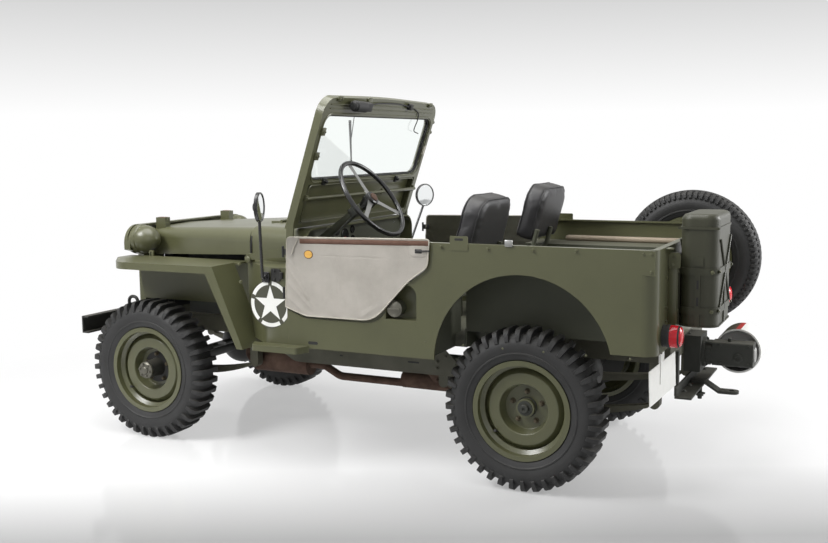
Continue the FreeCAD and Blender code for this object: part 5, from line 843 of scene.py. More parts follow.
for end, centre in wheel_places.items():
    side = 1 if centre[1] > 0 else -1
    out = Vector((0, side, 0))
    hub = Vector(centre)
    shop = Workshop()
    for turn in turns(NUTS, NUT_TURN):
        seat = round_the_hub(centre, NUT_CIRCLE, turn, DISC_FACE * side)
        wheel_nut(shop, seat, out)
        shop.rod(seat + out * 0.010, seat + out * 0.0195, 0.0055, 12)
    piece("wheel_nuts_" + end, shop, nut_brown, "wheel_" + end)
    shop = Workshop()
    stem = round_the_hub(centre, 0.168, -0.75, 0.012 * side)
    shop.rod(stem, stem + out * 0.030 + UPWARD * 0.010, 0.0045, 10)
    shop.rod(stem + out * 0.028 + UPWARD * 0.009, stem + out * 0.040 + UPWARD * 0.013, 0.0062, 12)
    piece("tyre_valve_" + end, shop, black_matt, "wheel_" + end)
    shop = Workshop()
    if "front" in end:
        shop.lathe(hub + out * 0.0645, out, FLANGE_PROFILE, 36)
        for turn in turns(6, 0.2):
            shop.bolt(round_the_hub(centre, 0.0315, turn, DRIVE_FACE * side), out, 0.0058, 0.0075)
        shop.lathe(hub + out * DRIVE_FACE, out, CAP_OF_FLANGE, 28)
        piece("drive_flange_" + end, shop, hub_metal, "wheel_" + end)
        shop = Workshop()
        shop.lathe(hub + out * (DISC_FACE + 0.0008), out, SLEEVE_PROFILE, 40, closed=True)
        piece("hub_sleeve_" + end, shop, chassis_black, "wheel_" + end)
    else:
        shop.lathe(hub + out * (DISC_FACE + 0.001), out, RING_PROFILE, 36)
        shop.lathe(hub + out * END_FACE, out, AXLE_END_PROFILE, 32)
        piece("axle_end_" + end, shop, cast_grey, "wheel_" + end)
print("wheel fittings on", len(wheel_places), "wheels")
# %% [markdown]
# ## Canvas doors
# Each half door is one stretched sheet of beige canvas with a light bound edge, a red brown band
# along the top, a stitched corner at the latch and a tuck at the front. The sheet is drawn as rings
# that shrink from the outline to a middle point, so one rule of folds can push every point out.
# Cloth simulation would slacken it; the real sheet is laced tight, and only pulls at its hinges.

# %% Outlines with rounded corners
# Each corner as x, z and the radius that rounds it
DOOR_CORNERS = [(0.3400, 0.754, 0.0), (0.3250, 1.079, 0.018), (-0.3990, 1.091, 0.012),
                (-0.3900, 0.972, 0.045), (-0.2960, 0.904, 0.090), (-0.1200, 0.718, 0.144),
                (0.2320, 0.718, 0.090)]
DOOR_MIDDLE = (0.050, 0.930)
SHEET_OUT = 0.7562
SHEET_THICK = 0.0024
DOOR_RINGS, FIRST_RING = 46, 0.02
EDGE_POINTS = 200


def round_corners(corners, steps=7):
    """Points along a closed outline whose corners are cut by a short curve of the given radius."""
    line = []
    for index, (x, z, radius) in enumerate(corners):
        here = Vector((x, z))
        before = Vector(corners[index - 1][:2]) - here
        after = Vector(corners[(index + 1) % len(corners)][:2]) - here
        if radius == 0:
            line.append(here)
            continue
        reach = min(radius / math.tan(before.angle(after) / 2), before.length * 0.48, after.length * 0.48)
        start, end = here + before.normalized() * reach, here + after.normalized() * reach
        for step in range(steps + 1):
            t = step / steps
            line.append(start * (1 - t) ** 2 + here * (2 * t * (1 - t)) + end * t * t)
    return line


def even_points(line, count):
    """The same closed line as evenly spaced points."""
    path = [*line, line[0]]
    lengths = [(b - a).length for a, b in zip(path, path[1:])]
    total = sum(lengths)
    spots = []
    index, gone = 0, 0.0
    for step in range(count):
        target = total * step / count
        while index < len(lengths) - 1 and gone + lengths[index] < target:
            gone += lengths[index]
            index += 1
        share = min(1.0, (target - gone) / max(lengths[index], 1e-9))
        spots.append(path[index].lerp(path[index + 1], share))
    return spots


def flat_area(line):
    """Area inside a closed line of (across, up) points."""
    return abs(sum(a.x * b.y - b.x * a.y for a, b in zip(line, [*line[1:], line[0]]))) / 2


door_edge = even_points(round_corners(DOOR_CORNERS), EDGE_POINTS)
print("door canvas", round(flat_area(door_edge), 4), "square metres")

# %% How the canvas pulls, tucks and sags
# Each fold runs from its first place to its last, with a width and a height.
FOLDS = [((0.322, 0.945), (0.222, 0.800), 0.0085, 0.0042), ((0.326, 0.985), (0.262, 0.890), 0.0075, 0.0032),
         ((0.318, 0.868), (0.200, 0.748), 0.0090, 0.0040), ((0.322, 0.800), (0.245, 0.738), 0.0080, 0.0028),
         ((0.328, 1.003), (0.285, 0.996), 0.0060, 0.0025), ((-0.060, 0.735), (-0.170, 0.800), 0.0110, 0.0016)]
SEAM_UP, SEAM_ACROSS = 1.0005, 0.058
FOLD_LIFT = 1.5


def along(place, start, end):
    """How far along a stretch the nearest point is, from 0 to 1, and its distance."""
    run = Vector(end) - Vector(start)
    share = max(0.0, min(1.0, (place - Vector(start)).dot(run) / run.length_squared))
    return share, (place - Vector(start) - run * share).length


def canvas_relief(place):
    """How far the canvas stands out at a place on the door, in metres."""
    out = 0.0
    for start, end, width, height in FOLDS:
        share, gap = along(place, start, end)
        fade = math.sin(math.pi * (0.12 + 0.88 * share)) ** 0.7
        out += FOLD_LIFT * height * math.exp(-(gap / width) ** 2) * fade
        out -= height * 0.35 * math.exp(-((gap - width * 1.9) / width) ** 2)
    out += 0.0016 * noise.noise(Vector((place.x * 9, place.y * 5, 0.3)))
    out += 0.0007 * noise.noise(Vector((place.x * 38, place.y * 21, 2.0)))
    out -= 0.0011 * math.exp(-((place.y - SEAM_UP) / 0.0022) ** 2)
    out -= 0.0005 * math.exp(-((place.x - SEAM_ACROSS) / 0.003) ** 2) if place.y < SEAM_UP else 0.0
    return out


def canvas_point(place, side, lift=0.0):
    """A place on the outside of a door's canvas, lifted off it by a little."""
    return Vector((place[0], side * (SHEET_OUT + canvas_relief(Vector(place)) + lift), place[1]))


def door_sheet(name, side):
    """The canvas of one door, with a front and a back face."""
    shop = Workshop()
    middle = Vector(DOOR_MIDDLE)
    shares = [(ring + FIRST_RING) / (DOOR_RINGS - 1 + FIRST_RING) for ring in range(DOOR_RINGS)]
    rings = [[middle.lerp(point, share) for point in door_edge] for share in shares]
    front = [[canvas_point(point, side) for point in ring] for ring in rings]
    back = [[point - Vector((0, side * SHEET_THICK, 0)) for point in ring] for ring in reversed(front)]
    shop.grid([*front, *back], capped=True)
    body = "door_" + name
    made = piece("door_canvas_" + name, shop, canvas, body, smooth=60, replaces=(body,))
    made.data.materials.append(inner_canvas)
    for face in made.data.polygons:
        face.material_index = 1 if face.normal.y * side < -0.5 else 0


for name, side in SIDES:
    door_sheet(name, side)
print("door sheets", len(SIDES), "with", len(FOLDS), "folds")

# %% Bound edges, bands, stitched corners, latches and hinges of the doors
BAND_FRONT, BAND_REAR = 0.2540, -0.3940
BAND_TALL = 0.0225
TUCK = [(0.3195, 1.078), (0.2560, 1.082), (0.2975, 1.001)]
PATCH = (0.2091, 1.003)
LATCH = (-0.3456, 1.0378)
HINGE_AT = (0.3483, 0.7533)
HINGE_HEIGHTS, HINGE_HALF = (0.820, 1.010), 0.026
BAND_STEPS, TUCK_STEPS = 60, 10
OVAL_HALF = (0.0215, 0.0175)


def top_edge(x):
    """Height of the door's top edge."""
    return 1.0788 + (0.325 - x) * 0.012 / 0.724


def strip_on_door(shop, line, half, lift, side):
    """A flat tape along a line on the door."""
    rows = []
    for index, place in enumerate(line):
        run = (line[min(index + 1, len(line) - 1)] - line[max(index - 1, 0)]).normalized()
        over = Vector((-run.y, run.x)) * half
        rows.append([canvas_point(place + over, side, 0), canvas_point(place + over * 0.92, side, lift),
                     canvas_point(place - over * 0.92, side, lift), canvas_point(place - over, side, 0)])
    shop.grid(rows, around=False)


tuck_low, tuck_high, tuck_tip = [Vector(corner) for corner in TUCK]
for name, side in SIDES:
    body = "door_" + name
    shop = Workshop()
    rim = [canvas_point(Vector(DOOR_MIDDLE).lerp(point, 0.9965), side, -0.0008) for point in door_edge]
    shop.wire([*rim, rim[0]], 0.0031, 8, smooth=0)
    tuck_line = [tuck_high, tuck_high.lerp(tuck_tip, 0.5) + Vector((0.003, 0)), tuck_tip]
    shop.wire([canvas_point(place, side, 0.0035) for place in tuck_line], 0.0022, 8)
    piece("door_piping_" + name, shop, piping, body, smooth=70)

    shop = Workshop()
    stations = [BAND_FRONT + (BAND_REAR - BAND_FRONT) * step / BAND_STEPS for step in range(BAND_STEPS + 1)]
    band = [Vector((x, top_edge(x) - 0.0175)) for x in stations]
    strip_on_door(shop, band, BAND_TALL / 2, 0.0016, side)
    piece("door_band_" + name, shop, brown_band, body, smooth=70)

    shop = Workshop()
    corner = [Vector(LATCH) + Vector(spot) for spot in rounded_outline(0.084, 0.058, 0.022)]
    corner = [Vector((max(spot.x, -0.3925), spot.y)) for spot in corner]
    centre = sum(corner, Vector((0, 0))) / len(corner)
    rows = [[canvas_point(centre.lerp(spot, size), side, lift) for spot in corner]
            for size, lift in ((0.03, 0.0012), (0.5, 0.0012), (0.93, 0.0012), (1.0, 0.0))]
    shop.grid(rows)
    tuck_rows = []
    for share in (0.03, 0.25, 0.5, 0.75, 0.97):
        row = []
        for step in range(TUCK_STEPS + 1):
            spot = tuck_tip.lerp(tuck_low.lerp(tuck_high, step / TUCK_STEPS), share)
            lift = 0.0006 + 0.0042 * math.sin(math.pi * step / TUCK_STEPS) * share ** 0.7
            row.append(canvas_point(spot, side, lift))
        tuck_rows.append(row)
    shop.grid(tuck_rows, around=False)
    piece("door_corner_patch_" + name, shop, canvas, body, smooth=60)

    shop = Workshop()
    latch_x, latch_z = LATCH
    shop.block((latch_x - 0.018, side * SHEET_OUT - 0.0035, latch_z - 0.0095),
               (latch_x + 0.016, side * SHEET_OUT + 0.0035, latch_z + 0.0095), 0.003)
    shop.rod((latch_x + 0.004, side * (SHEET_OUT + 0.0045), latch_z + 0.0015),
             (-0.402, side * (SHEET_OUT + 0.0048), latch_z + 0.0035), 0.0034, 10)
    hinge_x, hinge_y = HINGE_AT[0], side * HINGE_AT[1]
    for height in HINGE_HEIGHTS:
        shop.rod((hinge_x, hinge_y, height - HINGE_HALF), (hinge_x, hinge_y, height + HINGE_HALF), 0.0058, 12)
        shop.block((0.306, hinge_y - 0.0012, height - 0.014),
                   (hinge_x, hinge_y + 0.0012, height + 0.014), 0.0005)
    piece("door_latch_" + name, shop, black_matt, body)

oval = [(OVAL_HALF[0] * math.cos(turn), OVAL_HALF[1] * math.sin(turn)) for turn in turns(36)]
for material, size, lift, title in ((rust, 1.13, 0.0010, "edge"), (amber, 1.0, 0.0018, "face")):
    shop = Workshop()
    rows = [[canvas_point((PATCH[0] + a * size * share, PATCH[1] + b * size * share), 1, level)
             for a, b in oval] for share, level in ((0.02, lift), (0.6, lift), (0.95, lift), (1.0, 0.0))]
    shop.grid(rows)
    piece("door_patch_" + title, shop, material, "door_left", smooth=60)
print("door trim made on both sides")

# %% [markdown]
# ## Seats
# The seats are foam pads in black vinyl, with a flat boxing round the sides and a piped seam along
# both faces. Each pad starts as an outline in the size of the packed seat, is remeshed evenly, and
# is blown up a little by a cloth simulation with inner pressure. A cap on how far a point may move
# keeps the pad in its place. Seams are pressed in afterwards, and the piping is laid along them.

# %% Tools for the pads
VOXEL = 0.0075
SWELL_FRAMES = 20
CALM_STEPS = 14
CLOTH_STIFFNESS = 14
PAD_POINTS = 96
SEAM_REACH, SEAM_DEEP = 0.013, 0.0030
PIPING_LIFT, PIPING_RADIUS = 0.0004, 0.0030


def pad_outline(width, tall, corner, low_corner, steps=9):
    """A closed outline of a pad's face about its bottom middle, as (across, up) points."""
    half = width / 2
    corners = [(half, 0, low_corner), (half, tall, corner), (-half, tall, corner), (-half, 0, low_corner)]
    return even_points(round_corners(corners, steps), PAD_POINTS)


def pad_mesh(name, outline, low, high, place):
    """A plain pad: an outline given a thickness and moved to its place on the seat."""
    shop = Workshop()
    rows = [[place(spot, depth) for spot in outline] for depth in (low, high)]
    shop.grid(rows, capped=True)
    bmesh.ops.recalc_face_normals(shop.mesh, faces=shop.mesh.faces)
    mesh = bpy.data.meshes.new(name)
    shop.mesh.to_mesh(mesh)
    shop.mesh.free()
    made = bpy.data.objects.new(name, mesh)
    bpy.context.scene.collection.objects.link(made)
    return made


def apply_modifiers(made):
    """Replace a mesh by what its modifiers give, and clear them."""
    bpy.context.view_layer.update()
    shape = made.evaluated_get(bpy.context.evaluated_depsgraph_get())
    mesh = bpy.data.meshes.new_from_object(shape)
    made.modifiers.clear()
    made.data = mesh


def swell(made, pressure, cap, low=None):
    """Blow a pad up by cloth with inner pressure; no point moves further than the cap."""
    remesh = made.modifiers.new("even", "REMESH")
    remesh.mode = "VOXEL"
    remesh.voxel_size = VOXEL
    apply_modifiers(made)
    rest = [vertex.co.copy() for vertex in made.data.vertices]
    cloth = made.modifiers.new("air", "CLOTH")
    cloth.settings.use_pressure = True
    cloth.settings.uniform_pressure_force = pressure
    cloth.settings.effector_weights.gravity = 0.0
    cloth.settings.tension_stiffness = CLOTH_STIFFNESS
    cloth.settings.compression_stiffness = CLOTH_STIFFNESS
    cloth.point_cache.frame_end = SWELL_FRAMES
    for frame_number in range(1, SWELL_FRAMES + 1):
        bpy.context.scene.frame_set(frame_number)
    apply_modifiers(made)
    bpy.context.scene.frame_set(1)
    for vertex, start in zip(made.data.vertices, rest):
        moved = vertex.co - start
        if moved.length > cap:
            moved *= cap / moved.length
        vertex.co = start + moved
        if low is not None:
            vertex.co.z = max(vertex.co.z, low)


def press_seams(made, lines):
    """Pull the skin in along its seams, and return the lines moved onto the skin."""
    tree = BVHTree.FromPolygons([v.co for v in made.data.vertices], [p.vertices for p in made.data.polygons])
    laid = [[tree.find_nearest(point)[:2] for point in line] for line in lines]
    near = KDTree(sum(len(spots) for spots in laid))
    for index, (found, _) in enumerate(spot for spots in laid for spot in spots):
        near.insert(found, index)
    near.balance()
    normals = [vertex.normal.copy() for vertex in made.data.vertices]
    for vertex, normal in zip(made.data.vertices, normals):
        gap = near.find(vertex.co)[2]
        if gap < SEAM_REACH:
            vertex.co -= normal * SEAM_DEEP * (1 - gap / SEAM_REACH) ** 1.6
    return [[found + normal * PIPING_LIFT for found, normal in spots] for spots in laid]


def finish_pad(made, seams, name):
    calm = made.modifiers.new("calm", "SMOOTH")
    calm.factor = 0.5
    calm.iterations = CALM_STEPS
    apply_modifiers(made)
    laid = press_seams(made, seams)
    soften = made.modifiers.new("soften", "SUBSURF")
    soften.levels = 1
    soften.render_levels = 1
    apply_modifiers(made)
    made.data.materials.clear()
    made.data.materials.append(vinyl)
    made.data.polygons.foreach_set("use_smooth", [True] * len(made.data.polygons))
    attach(made, "car")
    shop = Workshop()
    for line in laid:
        shop.wire([*line, line[0]], PIPING_RADIUS, 8, smooth=0)
    piece(name + "_piping", shop, vinyl, "car", smooth=70)


print("pad tools ready, voxel", VOXEL)

# %% Cushions and backs
SEAT_WIDTH = 0.430
# Rear, front, underside and top of the cushions
CUSHION = (-0.381, -0.016, 0.8055, 0.9050)
BACK_LEAN = math.radians(15)
BACK_TALL = 0.296
BACK_DEEP = 0.100
PAD_PRESSURE = 4.0
CUSHION_BULGE, BACK_BULGE = 0.013, 0.010
# Each seat's middle across the car, and the foot of its back as x and z
SEATS = {"driver": (0.321, -0.386, 0.9939), "passenger": (-0.439, -0.414, 1.0139)}
back_up = Vector((-math.sin(BACK_LEAN), 0, math.cos(BACK_LEAN)))
back_in = Vector((-math.cos(BACK_LEAN), 0, -math.sin(BACK_LEAN)))
for name, (across, back_x, back_z) in SEATS.items():
    rear, front, low, high = CUSHION

    def cushion_place(spot, depth):
        """A place on the flat cushion, from a point of its outline and a height."""
        return Vector((rear + 0.004 + spot.y, across + spot.x, depth))

    flat = pad_outline(SEAT_WIDTH - 0.014, front - rear - 0.008, 0.050, 0.035)
    made = pad_mesh(name + "_cushion_pad", flat, low, high - 0.006, cushion_place)
    swell(made, PAD_PRESSURE, CUSHION_BULGE, low)
    seams = [[cushion_place(spot, depth) for spot in flat] for depth in (low + 0.014, high - 0.004)]
    finish_pad(made, seams, name + "_cushion")
    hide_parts(name + "_seat")

    def back_place(spot, depth):
        """A place on the leaning back, from a point of its outline and a depth."""
        foot = Vector((back_x, across, back_z))
        return foot + back_up * (spot.y + 0.004) + back_in * depth + Vector((0, spot.x, 0))

    face = pad_outline(SEAT_WIDTH - 0.014, BACK_TALL - 0.004, 0.112, 0.028)
    made = pad_mesh(name + "_back_pad", face, 0.006, BACK_DEEP - 0.006, back_place)
    swell(made, PAD_PRESSURE, BACK_BULGE)
    seams = [[back_place(spot, depth) for spot in face] for depth in (0.006, BACK_DEEP - 0.006)]
    finish_pad(made, seams, name + "_back")
print("pads", len(SEATS) * 2)

# %% [markdown]
# ## Star marking
# The cowl side carries a plain white star in a ring with five breaks, on a slightly darker disc
# that is a painted shade.
# It is a painted mark, so it is made as films a fraction of a millimetre thick. An image would do
# as well, but cut films stay crisp at any distance and need no picture data.

# %% Bolts and plates that lie on a skin
# Slots and holes are shown by dark films of this thickness, a painted shade where the opening
# would be
SLOT_FILM = 0.0006


def bolts(shop, places, axis, radius, tall):
    """Hexagon bolts of one size that face one way."""
    for place in places:
        shop.bolt(place, axis, radius, tall)


def skin_plate(shop, outline, place, thick, side=1):
    """A plate on the left or right skin of the car, whose thickness stands outward."""
    shop.plate(outline, place, REARWARD * side, UPWARD, thick)


print("helpers for bolts and plates ready")

# %% Star, broken ring and disc
STAR_MIDDLE = Vector((0.4304, 0.7452, 0.7597))
STAR_TIP, STAR_INNER = 0.088, 0.0336
RING_OUT, RING_IN = 0.1085, 0.0905
RING_GAP = math.radians(6)
ARC_STEPS = 12
DISC_RADIUS, DISC_REAR = 0.1115, 0.0925
GROUND_THICK, MARK_THICK = 0.0003, 0.0004
# The darker disc round the star is a painted shade
star_shade_olive = finish("olive_star_painted_shade", (0.060, 0.061, 0.040), 0.42, dust=0.1, edge=0.0, size=520.0,
                     depth=0.05)

shop = Workshop()
disc = [polar(DISC_RADIUS, turn) for turn in turns(60)]
skin_plate(shop, [(min(a, DISC_REAR), b) for a, b in disc], STAR_MIDDLE, GROUND_THICK)
piece("star_ground", shop, star_shade_olive)
shop = Workshop()
mark_place = STAR_MIDDLE + LEFTWARD * GROUND_THICK
star = []
for tip in range(5):
    turn = math.radians(90 + 72 * tip)
    star += [polar(STAR_TIP, turn), polar(STAR_INNER, turn + math.pi / 5)]
    first, last = turn + RING_GAP, turn + math.tau / 5 - RING_GAP
    sweep = [first + (last - first) * step / ARC_STEPS for step in range(ARC_STEPS + 1)]
    arc = [polar(RING_OUT, a) for a in sweep] + [polar(RING_IN, a) for a in reversed(sweep)]
    skin_plate(shop, [(min(a, DISC_REAR), b) for a, b in arc], mark_place, MARK_THICK)
skin_plate(shop, star, mark_place, MARK_THICK)
piece("star_marking", shop, white_paint_and_highlight)
print("star with", len(star) // 2, "tips")

# %% [markdown]
# ## Windscreen fittings
# Everything on the windscreen is placed by three numbers: across the car, up along the leaning
# frame, and how far it stands toward the cabin. The fittings ride on the windscreen's own body, so
# they fold forward with it.

# %% Places on the windscreen
SCREEN_LEAN = math.radians(18.68)
SCREEN_X, SCREEN_Z = 0.428, 1.100


def on_screen(across, up, back=0.0):
    """A place on the leaning windscreen."""
    return Vector((SCREEN_X - up * math.sin(SCREEN_LEAN) - back * math.cos(SCREEN_LEAN), across,
                   SCREEN_Z + up * math.cos(SCREEN_LEAN) - back * math.sin(SCREEN_LEAN)))


screen_back = on_screen(0, 0, 1) - on_screen(0, 0)


def screen_ring(shop, width, tall, middle_up, corner, radius, back):
    """A bar that runs round an opening or a panel of the windscreen."""
    line = [on_screen(a, middle_up + b, back) for a, b in rounded_outline(width, tall, corner, 7)]
    shop.wire([*line, line[0]], radius, 8, smooth=0)


def screen_block(shop, across, up, back, size, bevel=0.002):
    """A block that lies flat on the windscreen; size is across, up and back."""
    half = Vector(size) / 2
    lean = Matrix.Rotation(-SCREEN_LEAN, 3, "Y")
    centre = on_screen(across, up, back)
    offset = Vector((half.z, half.x, half.y))
    shop.block(centre - offset, centre + offset, bevel, lean)


print("windscreen leans by", round(math.degrees(SCREEN_LEAN), 2), "degrees")

# %% Gasket, lips, rail tube, latches and clamps
WINDOW_UP = 0.417
LIP_SPAN = 0.56
RAIL_UP = 0.170
# Across, up, width and height of each plate on the cabin side of the frame
SCREEN_PLATES = [(0.5727, 0.4983, 0.033, 0.038), (0.5742, 0.3789, 0.033, 0.038),
                 (0.4975, 0.6608, 0.040, 0.026), (-0.4992, 0.6573, 0.040, 0.026),
                 (0.206, 0.650, 0.034, 0.052)]
shop = Workshop()
for back in (0.0285, 0.0165):
    screen_ring(shop, 1.142, 0.316, WINDOW_UP, 0.052, 0.0052, back)
piece("glass_gasket", shop, black_matt, "windscreen")
shop = Workshop()
screen_ring(shop, 1.168, 0.342, WINDOW_UP, 0.062, 0.0042, 0.0402)
for up, crown in ((0.6095, 0.004), (0.6300, 0.006)):
    shop.wire([on_screen(y, up + crown * (1 - abs(y) / LIP_SPAN), 0.0410)
               for y in (-LIP_SPAN, -0.3, 0, 0.3, LIP_SPAN)], 0.003, 8)
screen_ring(shop, 1.120, 0.186, 0.138, 0.020, 0.0035, 0.0400)
piece("screen_lips", shop, olive, "windscreen")
shop = Workshop()
shop.rod(on_screen(0.579, RAIL_UP, 0.052), on_screen(-0.592, RAIL_UP, 0.052), 0.009, 16)
for across in (0.570, 0.200, -0.200, -0.583):
    screen_block(shop, across, RAIL_UP, 0.046, (0.020, 0.030, 0.012))
piece("screen_rail", shop, olive, "windscreen")
shop = Workshop()
for across, up, wide, tall in SCREEN_PLATES:
    screen_block(shop, across, up, 0.0440, (wide, tall, 0.010))
    spots = [on_screen(across + shift * wide * 0.24, up, 0.0485) for shift in (-1, 1)]
    bolts(shop, spots, screen_back, 0.0048, 0.006)
for across, up in ((-0.626, 0.557), (-0.628, 0.4976)):
    screen_block(shop, across, up, 0.024, (0.026, 0.024, 0.016))
    shop.ball(on_screen(across - 0.016, up, 0.024), 0.011)
piece("screen_plates", shop, olive, "windscreen")
print("windscreen plates", len(SCREEN_PLATES))

# %% Wiper motor, wires, clips, wiper blade and tape
MOTOR_UP, MOTOR_BACK = 0.6366, 0.074
BLADE_BACK = 0.011
# Corners of each wire as across, up and back
MOTOR_WIRE = [(0.228, 0.634, 0.055), (0.10, 0.650, 0.046), (-0.12, 0.653, 0.046), (-0.228, 0.643, 0.050)]
HANGING_WIRE = [(-0.258, 0.640, 0.050), (-0.3133, 0.6318, 0.047), (-0.3722, 0.6103, 0.046),
                (-0.3917, 0.5704, 0.044), (-0.3837, 0.5122, 0.044), (-0.4471, 0.4948, 0.044)]
shop = Workshop()
shop.rod(on_screen(0.400, MOTOR_UP, MOTOR_BACK), on_screen(0.296, 0.634, MOTOR_BACK), 0.027, 28)
shop.rod(on_screen(0.4157, MOTOR_UP, MOTOR_BACK), on_screen(0.395, MOTOR_UP, MOTOR_BACK), 0.021, 28)
screen_block(shop, 0.262, 0.634, 0.064, (0.070, 0.044, 0.036), 0.006)
screen_block(shop, -0.2415, 0.6427, 0.052, (0.032, 0.032, 0.024), 0.005)
for corners, radius in ((MOTOR_WIRE, 0.0035), (HANGING_WIRE, 0.0028)):
    shop.wire([on_screen(*corner) for corner in corners], radius, 8)
for across, up in ((0.4445, 0.249), (-0.3258, 0.235)):
    screen_block(shop, across, up, 0.046, (0.026, 0.034, 0.012))
    shop.ball(on_screen(across, up + 0.004, 0.058), 0.0095)
piece("wiper_motor", shop, black_matt, "windscreen")
shop = Workshop()
blade = [on_screen(across, up, BLADE_BACK)
         for across, up in ((0.3126, 0.549), (0.2900, 0.5495), (0.1500, 0.3015), (0.1574, 0.3015))]
shop.grid([blade, [point + screen_back * 0.003 for point in blade]], capped=True)
arm = [(0.250, 0.600, -0.0015), (0.250, 0.568, 0.002), (0.225, 0.430, 0.009)]
shop.wire([on_screen(*corner) for corner in arm], 0.0022, 8)
shop.rod(on_screen(0.250, 0.606, 0.001), on_screen(0.250, 0.606, -0.003), 0.008, 12)
piece("wiper_blade", shop, black_matt, "windscreen")
shop = Workshop()
screen_block(shop, -0.5915, 0.397, 0.0406, (0.030, 0.050, 0.0012), 0.0004)
piece("post_patch", shop, piping, "windscreen")
print("wiper motor, wires, clips and blade made")

# %% [markdown]
# ## Steering wheel, column and dashboard
# The rim is a glossy black ring of round section with slight finger ridges underneath, held by
# three flat bright spokes. The hub and its cap are turned about the column's own axis.

# %% Steering wheel
HUB = Vector((0.078, 0.380, 1.240))
HEADING = Vector((0.809, 0, -0.588))
RIM_RADIUS, TUBE_RADIUS = 0.208, 0.0112
RIM_SIDES, TUBE_SIDES = 180, 18
RIDGES, RIDGE_SHARE, RIDGE_BELOW = 60, 0.05, 0.004
SPOKE_THICK, SPOKE_DOWN = 0.0035, 0.002
# Half widths of a spoke along its length, as radius and half width
SPOKE_TAPER = [(0.028, 0.0170), (0.060, 0.0125), (0.150, 0.0112), (0.201, 0.0144)]
wheel_frame = (LEFTWARD, HEADING.cross(LEFTWARD).normalized(), HEADING)


def on_wheel(radius, turn, down=0.0):
    """A place in the plane of the steering wheel, moved along the column."""
    across, up = polar(radius, turn)
    return HUB + wheel_frame[0] * across + wheel_frame[1] * up + HEADING * down


def ridged(down, turn):
    """Depth of a point of the rim, with the finger ridges on its underside."""
    return down * (1 + RIDGE_SHARE * math.cos(turn * RIDGES)) if down > RIDGE_BELOW else down


shop = Workshop()
rows = []
for section in turns(TUBE_SIDES):
    out, down = polar(TUBE_RADIUS, section)
    rows.append([on_wheel(RIM_RADIUS + out, turn, ridged(down, turn)) for turn in turns(RIM_SIDES)])
rows.append(rows[0])
shop.grid(rows)
bmesh.ops.remove_doubles(shop.mesh, verts=shop.mesh.verts, dist=1e-6)
shop.lathe(HUB - HEADING * 0.012, HEADING,
           [(0, 0.030), (0.003, 0.034), (0.040, 0.036), (0.060, 0.026), (0.078, 0.022)], 36)
piece("wheel_rim_and_hub", shop, black_gloss, "steering_wheel", replaces=("steering_wheel",))
shop = Workshop()
for degrees in (90, 210, 330):
    turn = math.radians(degrees)
    sideways = wheel_frame[0] * -math.sin(turn) + wheel_frame[1] * math.cos(turn)
    rows = []
    for radius, half in SPOKE_TAPER:
        middle = on_wheel(radius, turn, SPOKE_DOWN)
        low, high = middle - sideways * half, middle + sideways * half
        rows.append([low, high, high + HEADING * SPOKE_THICK, low + HEADING * SPOKE_THICK])
    shop.grid(rows, capped=True)
piece("wheel_spokes", shop, bare_steel, "steering_wheel")
shop = Workshop()
shop.lathe(HUB - HEADING * 0.0125, -HEADING,
           [(0, 0.0225), (0.004, 0.0215), (0.008, 0.015), (0.0095, 0.004)], 28)
piece("wheel_cap", shop, rust, "steering_wheel")
print("steering wheel of", round(RIM_RADIUS * 2 + TUBE_RADIUS * 2, 3), "m")

# %% Column switch, column jacket, knobs and gauges
DASH_FACE = 0.3935
# Across, height and radius of each gauge
GAUGES = [(0.10, 1.030, 0.036), (0.02, 1.055, 0.020), (0.18, 1.055, 0.020), (0.02, 1.005, 0.020),
          (0.18, 1.005, 0.020)]
KNOB_PROFILE = [(0, 0.006), (0.010, 0.005), (0.012, 0.0095), (0.018, 0.009)]
shop = Workshop()
shop.block((0.148, 0.352, 1.152), (0.196, 0.408, 1.200), 0.006, Matrix.Rotation(math.radians(36), 3, "Y"))
shop.wire([(0.178, 0.40, 1.150), (0.26, 0.44, 1.06), (0.36, 0.43, 0.99)], 0.004, 8)
piece("column_switch", shop, cast_grey)
shop = Workshop()
shop.rod(HUB + HEADING * 0.085, HUB + HEADING * 0.560, 0.0195, 24)
piece("column_jacket", shop, black_gloss)
shop = Workshop()
shop.ball((0.165, 0.397, 1.196), 0.008)
shop.ball((0.394, 0.100, 1.010), 0.012)
piece("red_knobs", shop, red_paint)
shop = Workshop()
for across, height, radius in GAUGES:
    shop.lathe((DASH_FACE, across, height), REARWARD,
               [(0, radius), (0.004, radius), (0.0055, radius * 0.93), (0.0025, radius * 0.88),
                (0.0024, radius * 0.1)], 32)
piece("dash_gauges", shop, black_gloss)
shop = Workshop()
for across in (-0.06, -0.10, -0.14, 0.26, 0.30):
    shop.lathe((DASH_FACE, across, 0.990), REARWARD, KNOB_PROFILE, 16)
bolts(shop, [(DASH_FACE, across, height) for across in (-0.20, -0.46) for height in (0.985, 1.060)], REARWARD,
      0.004, 0.005)
piece("dash_knobs", shop, bare_steel)
print("gauges", len(GAUGES), "and the column's fittings made")

# %% [markdown]
# ## Mirrors
# Each mirror head is a round black pan. Its glass is a silvered disc that sits in a rolled rim, and
# the arm ends in a clamp with a bolt.

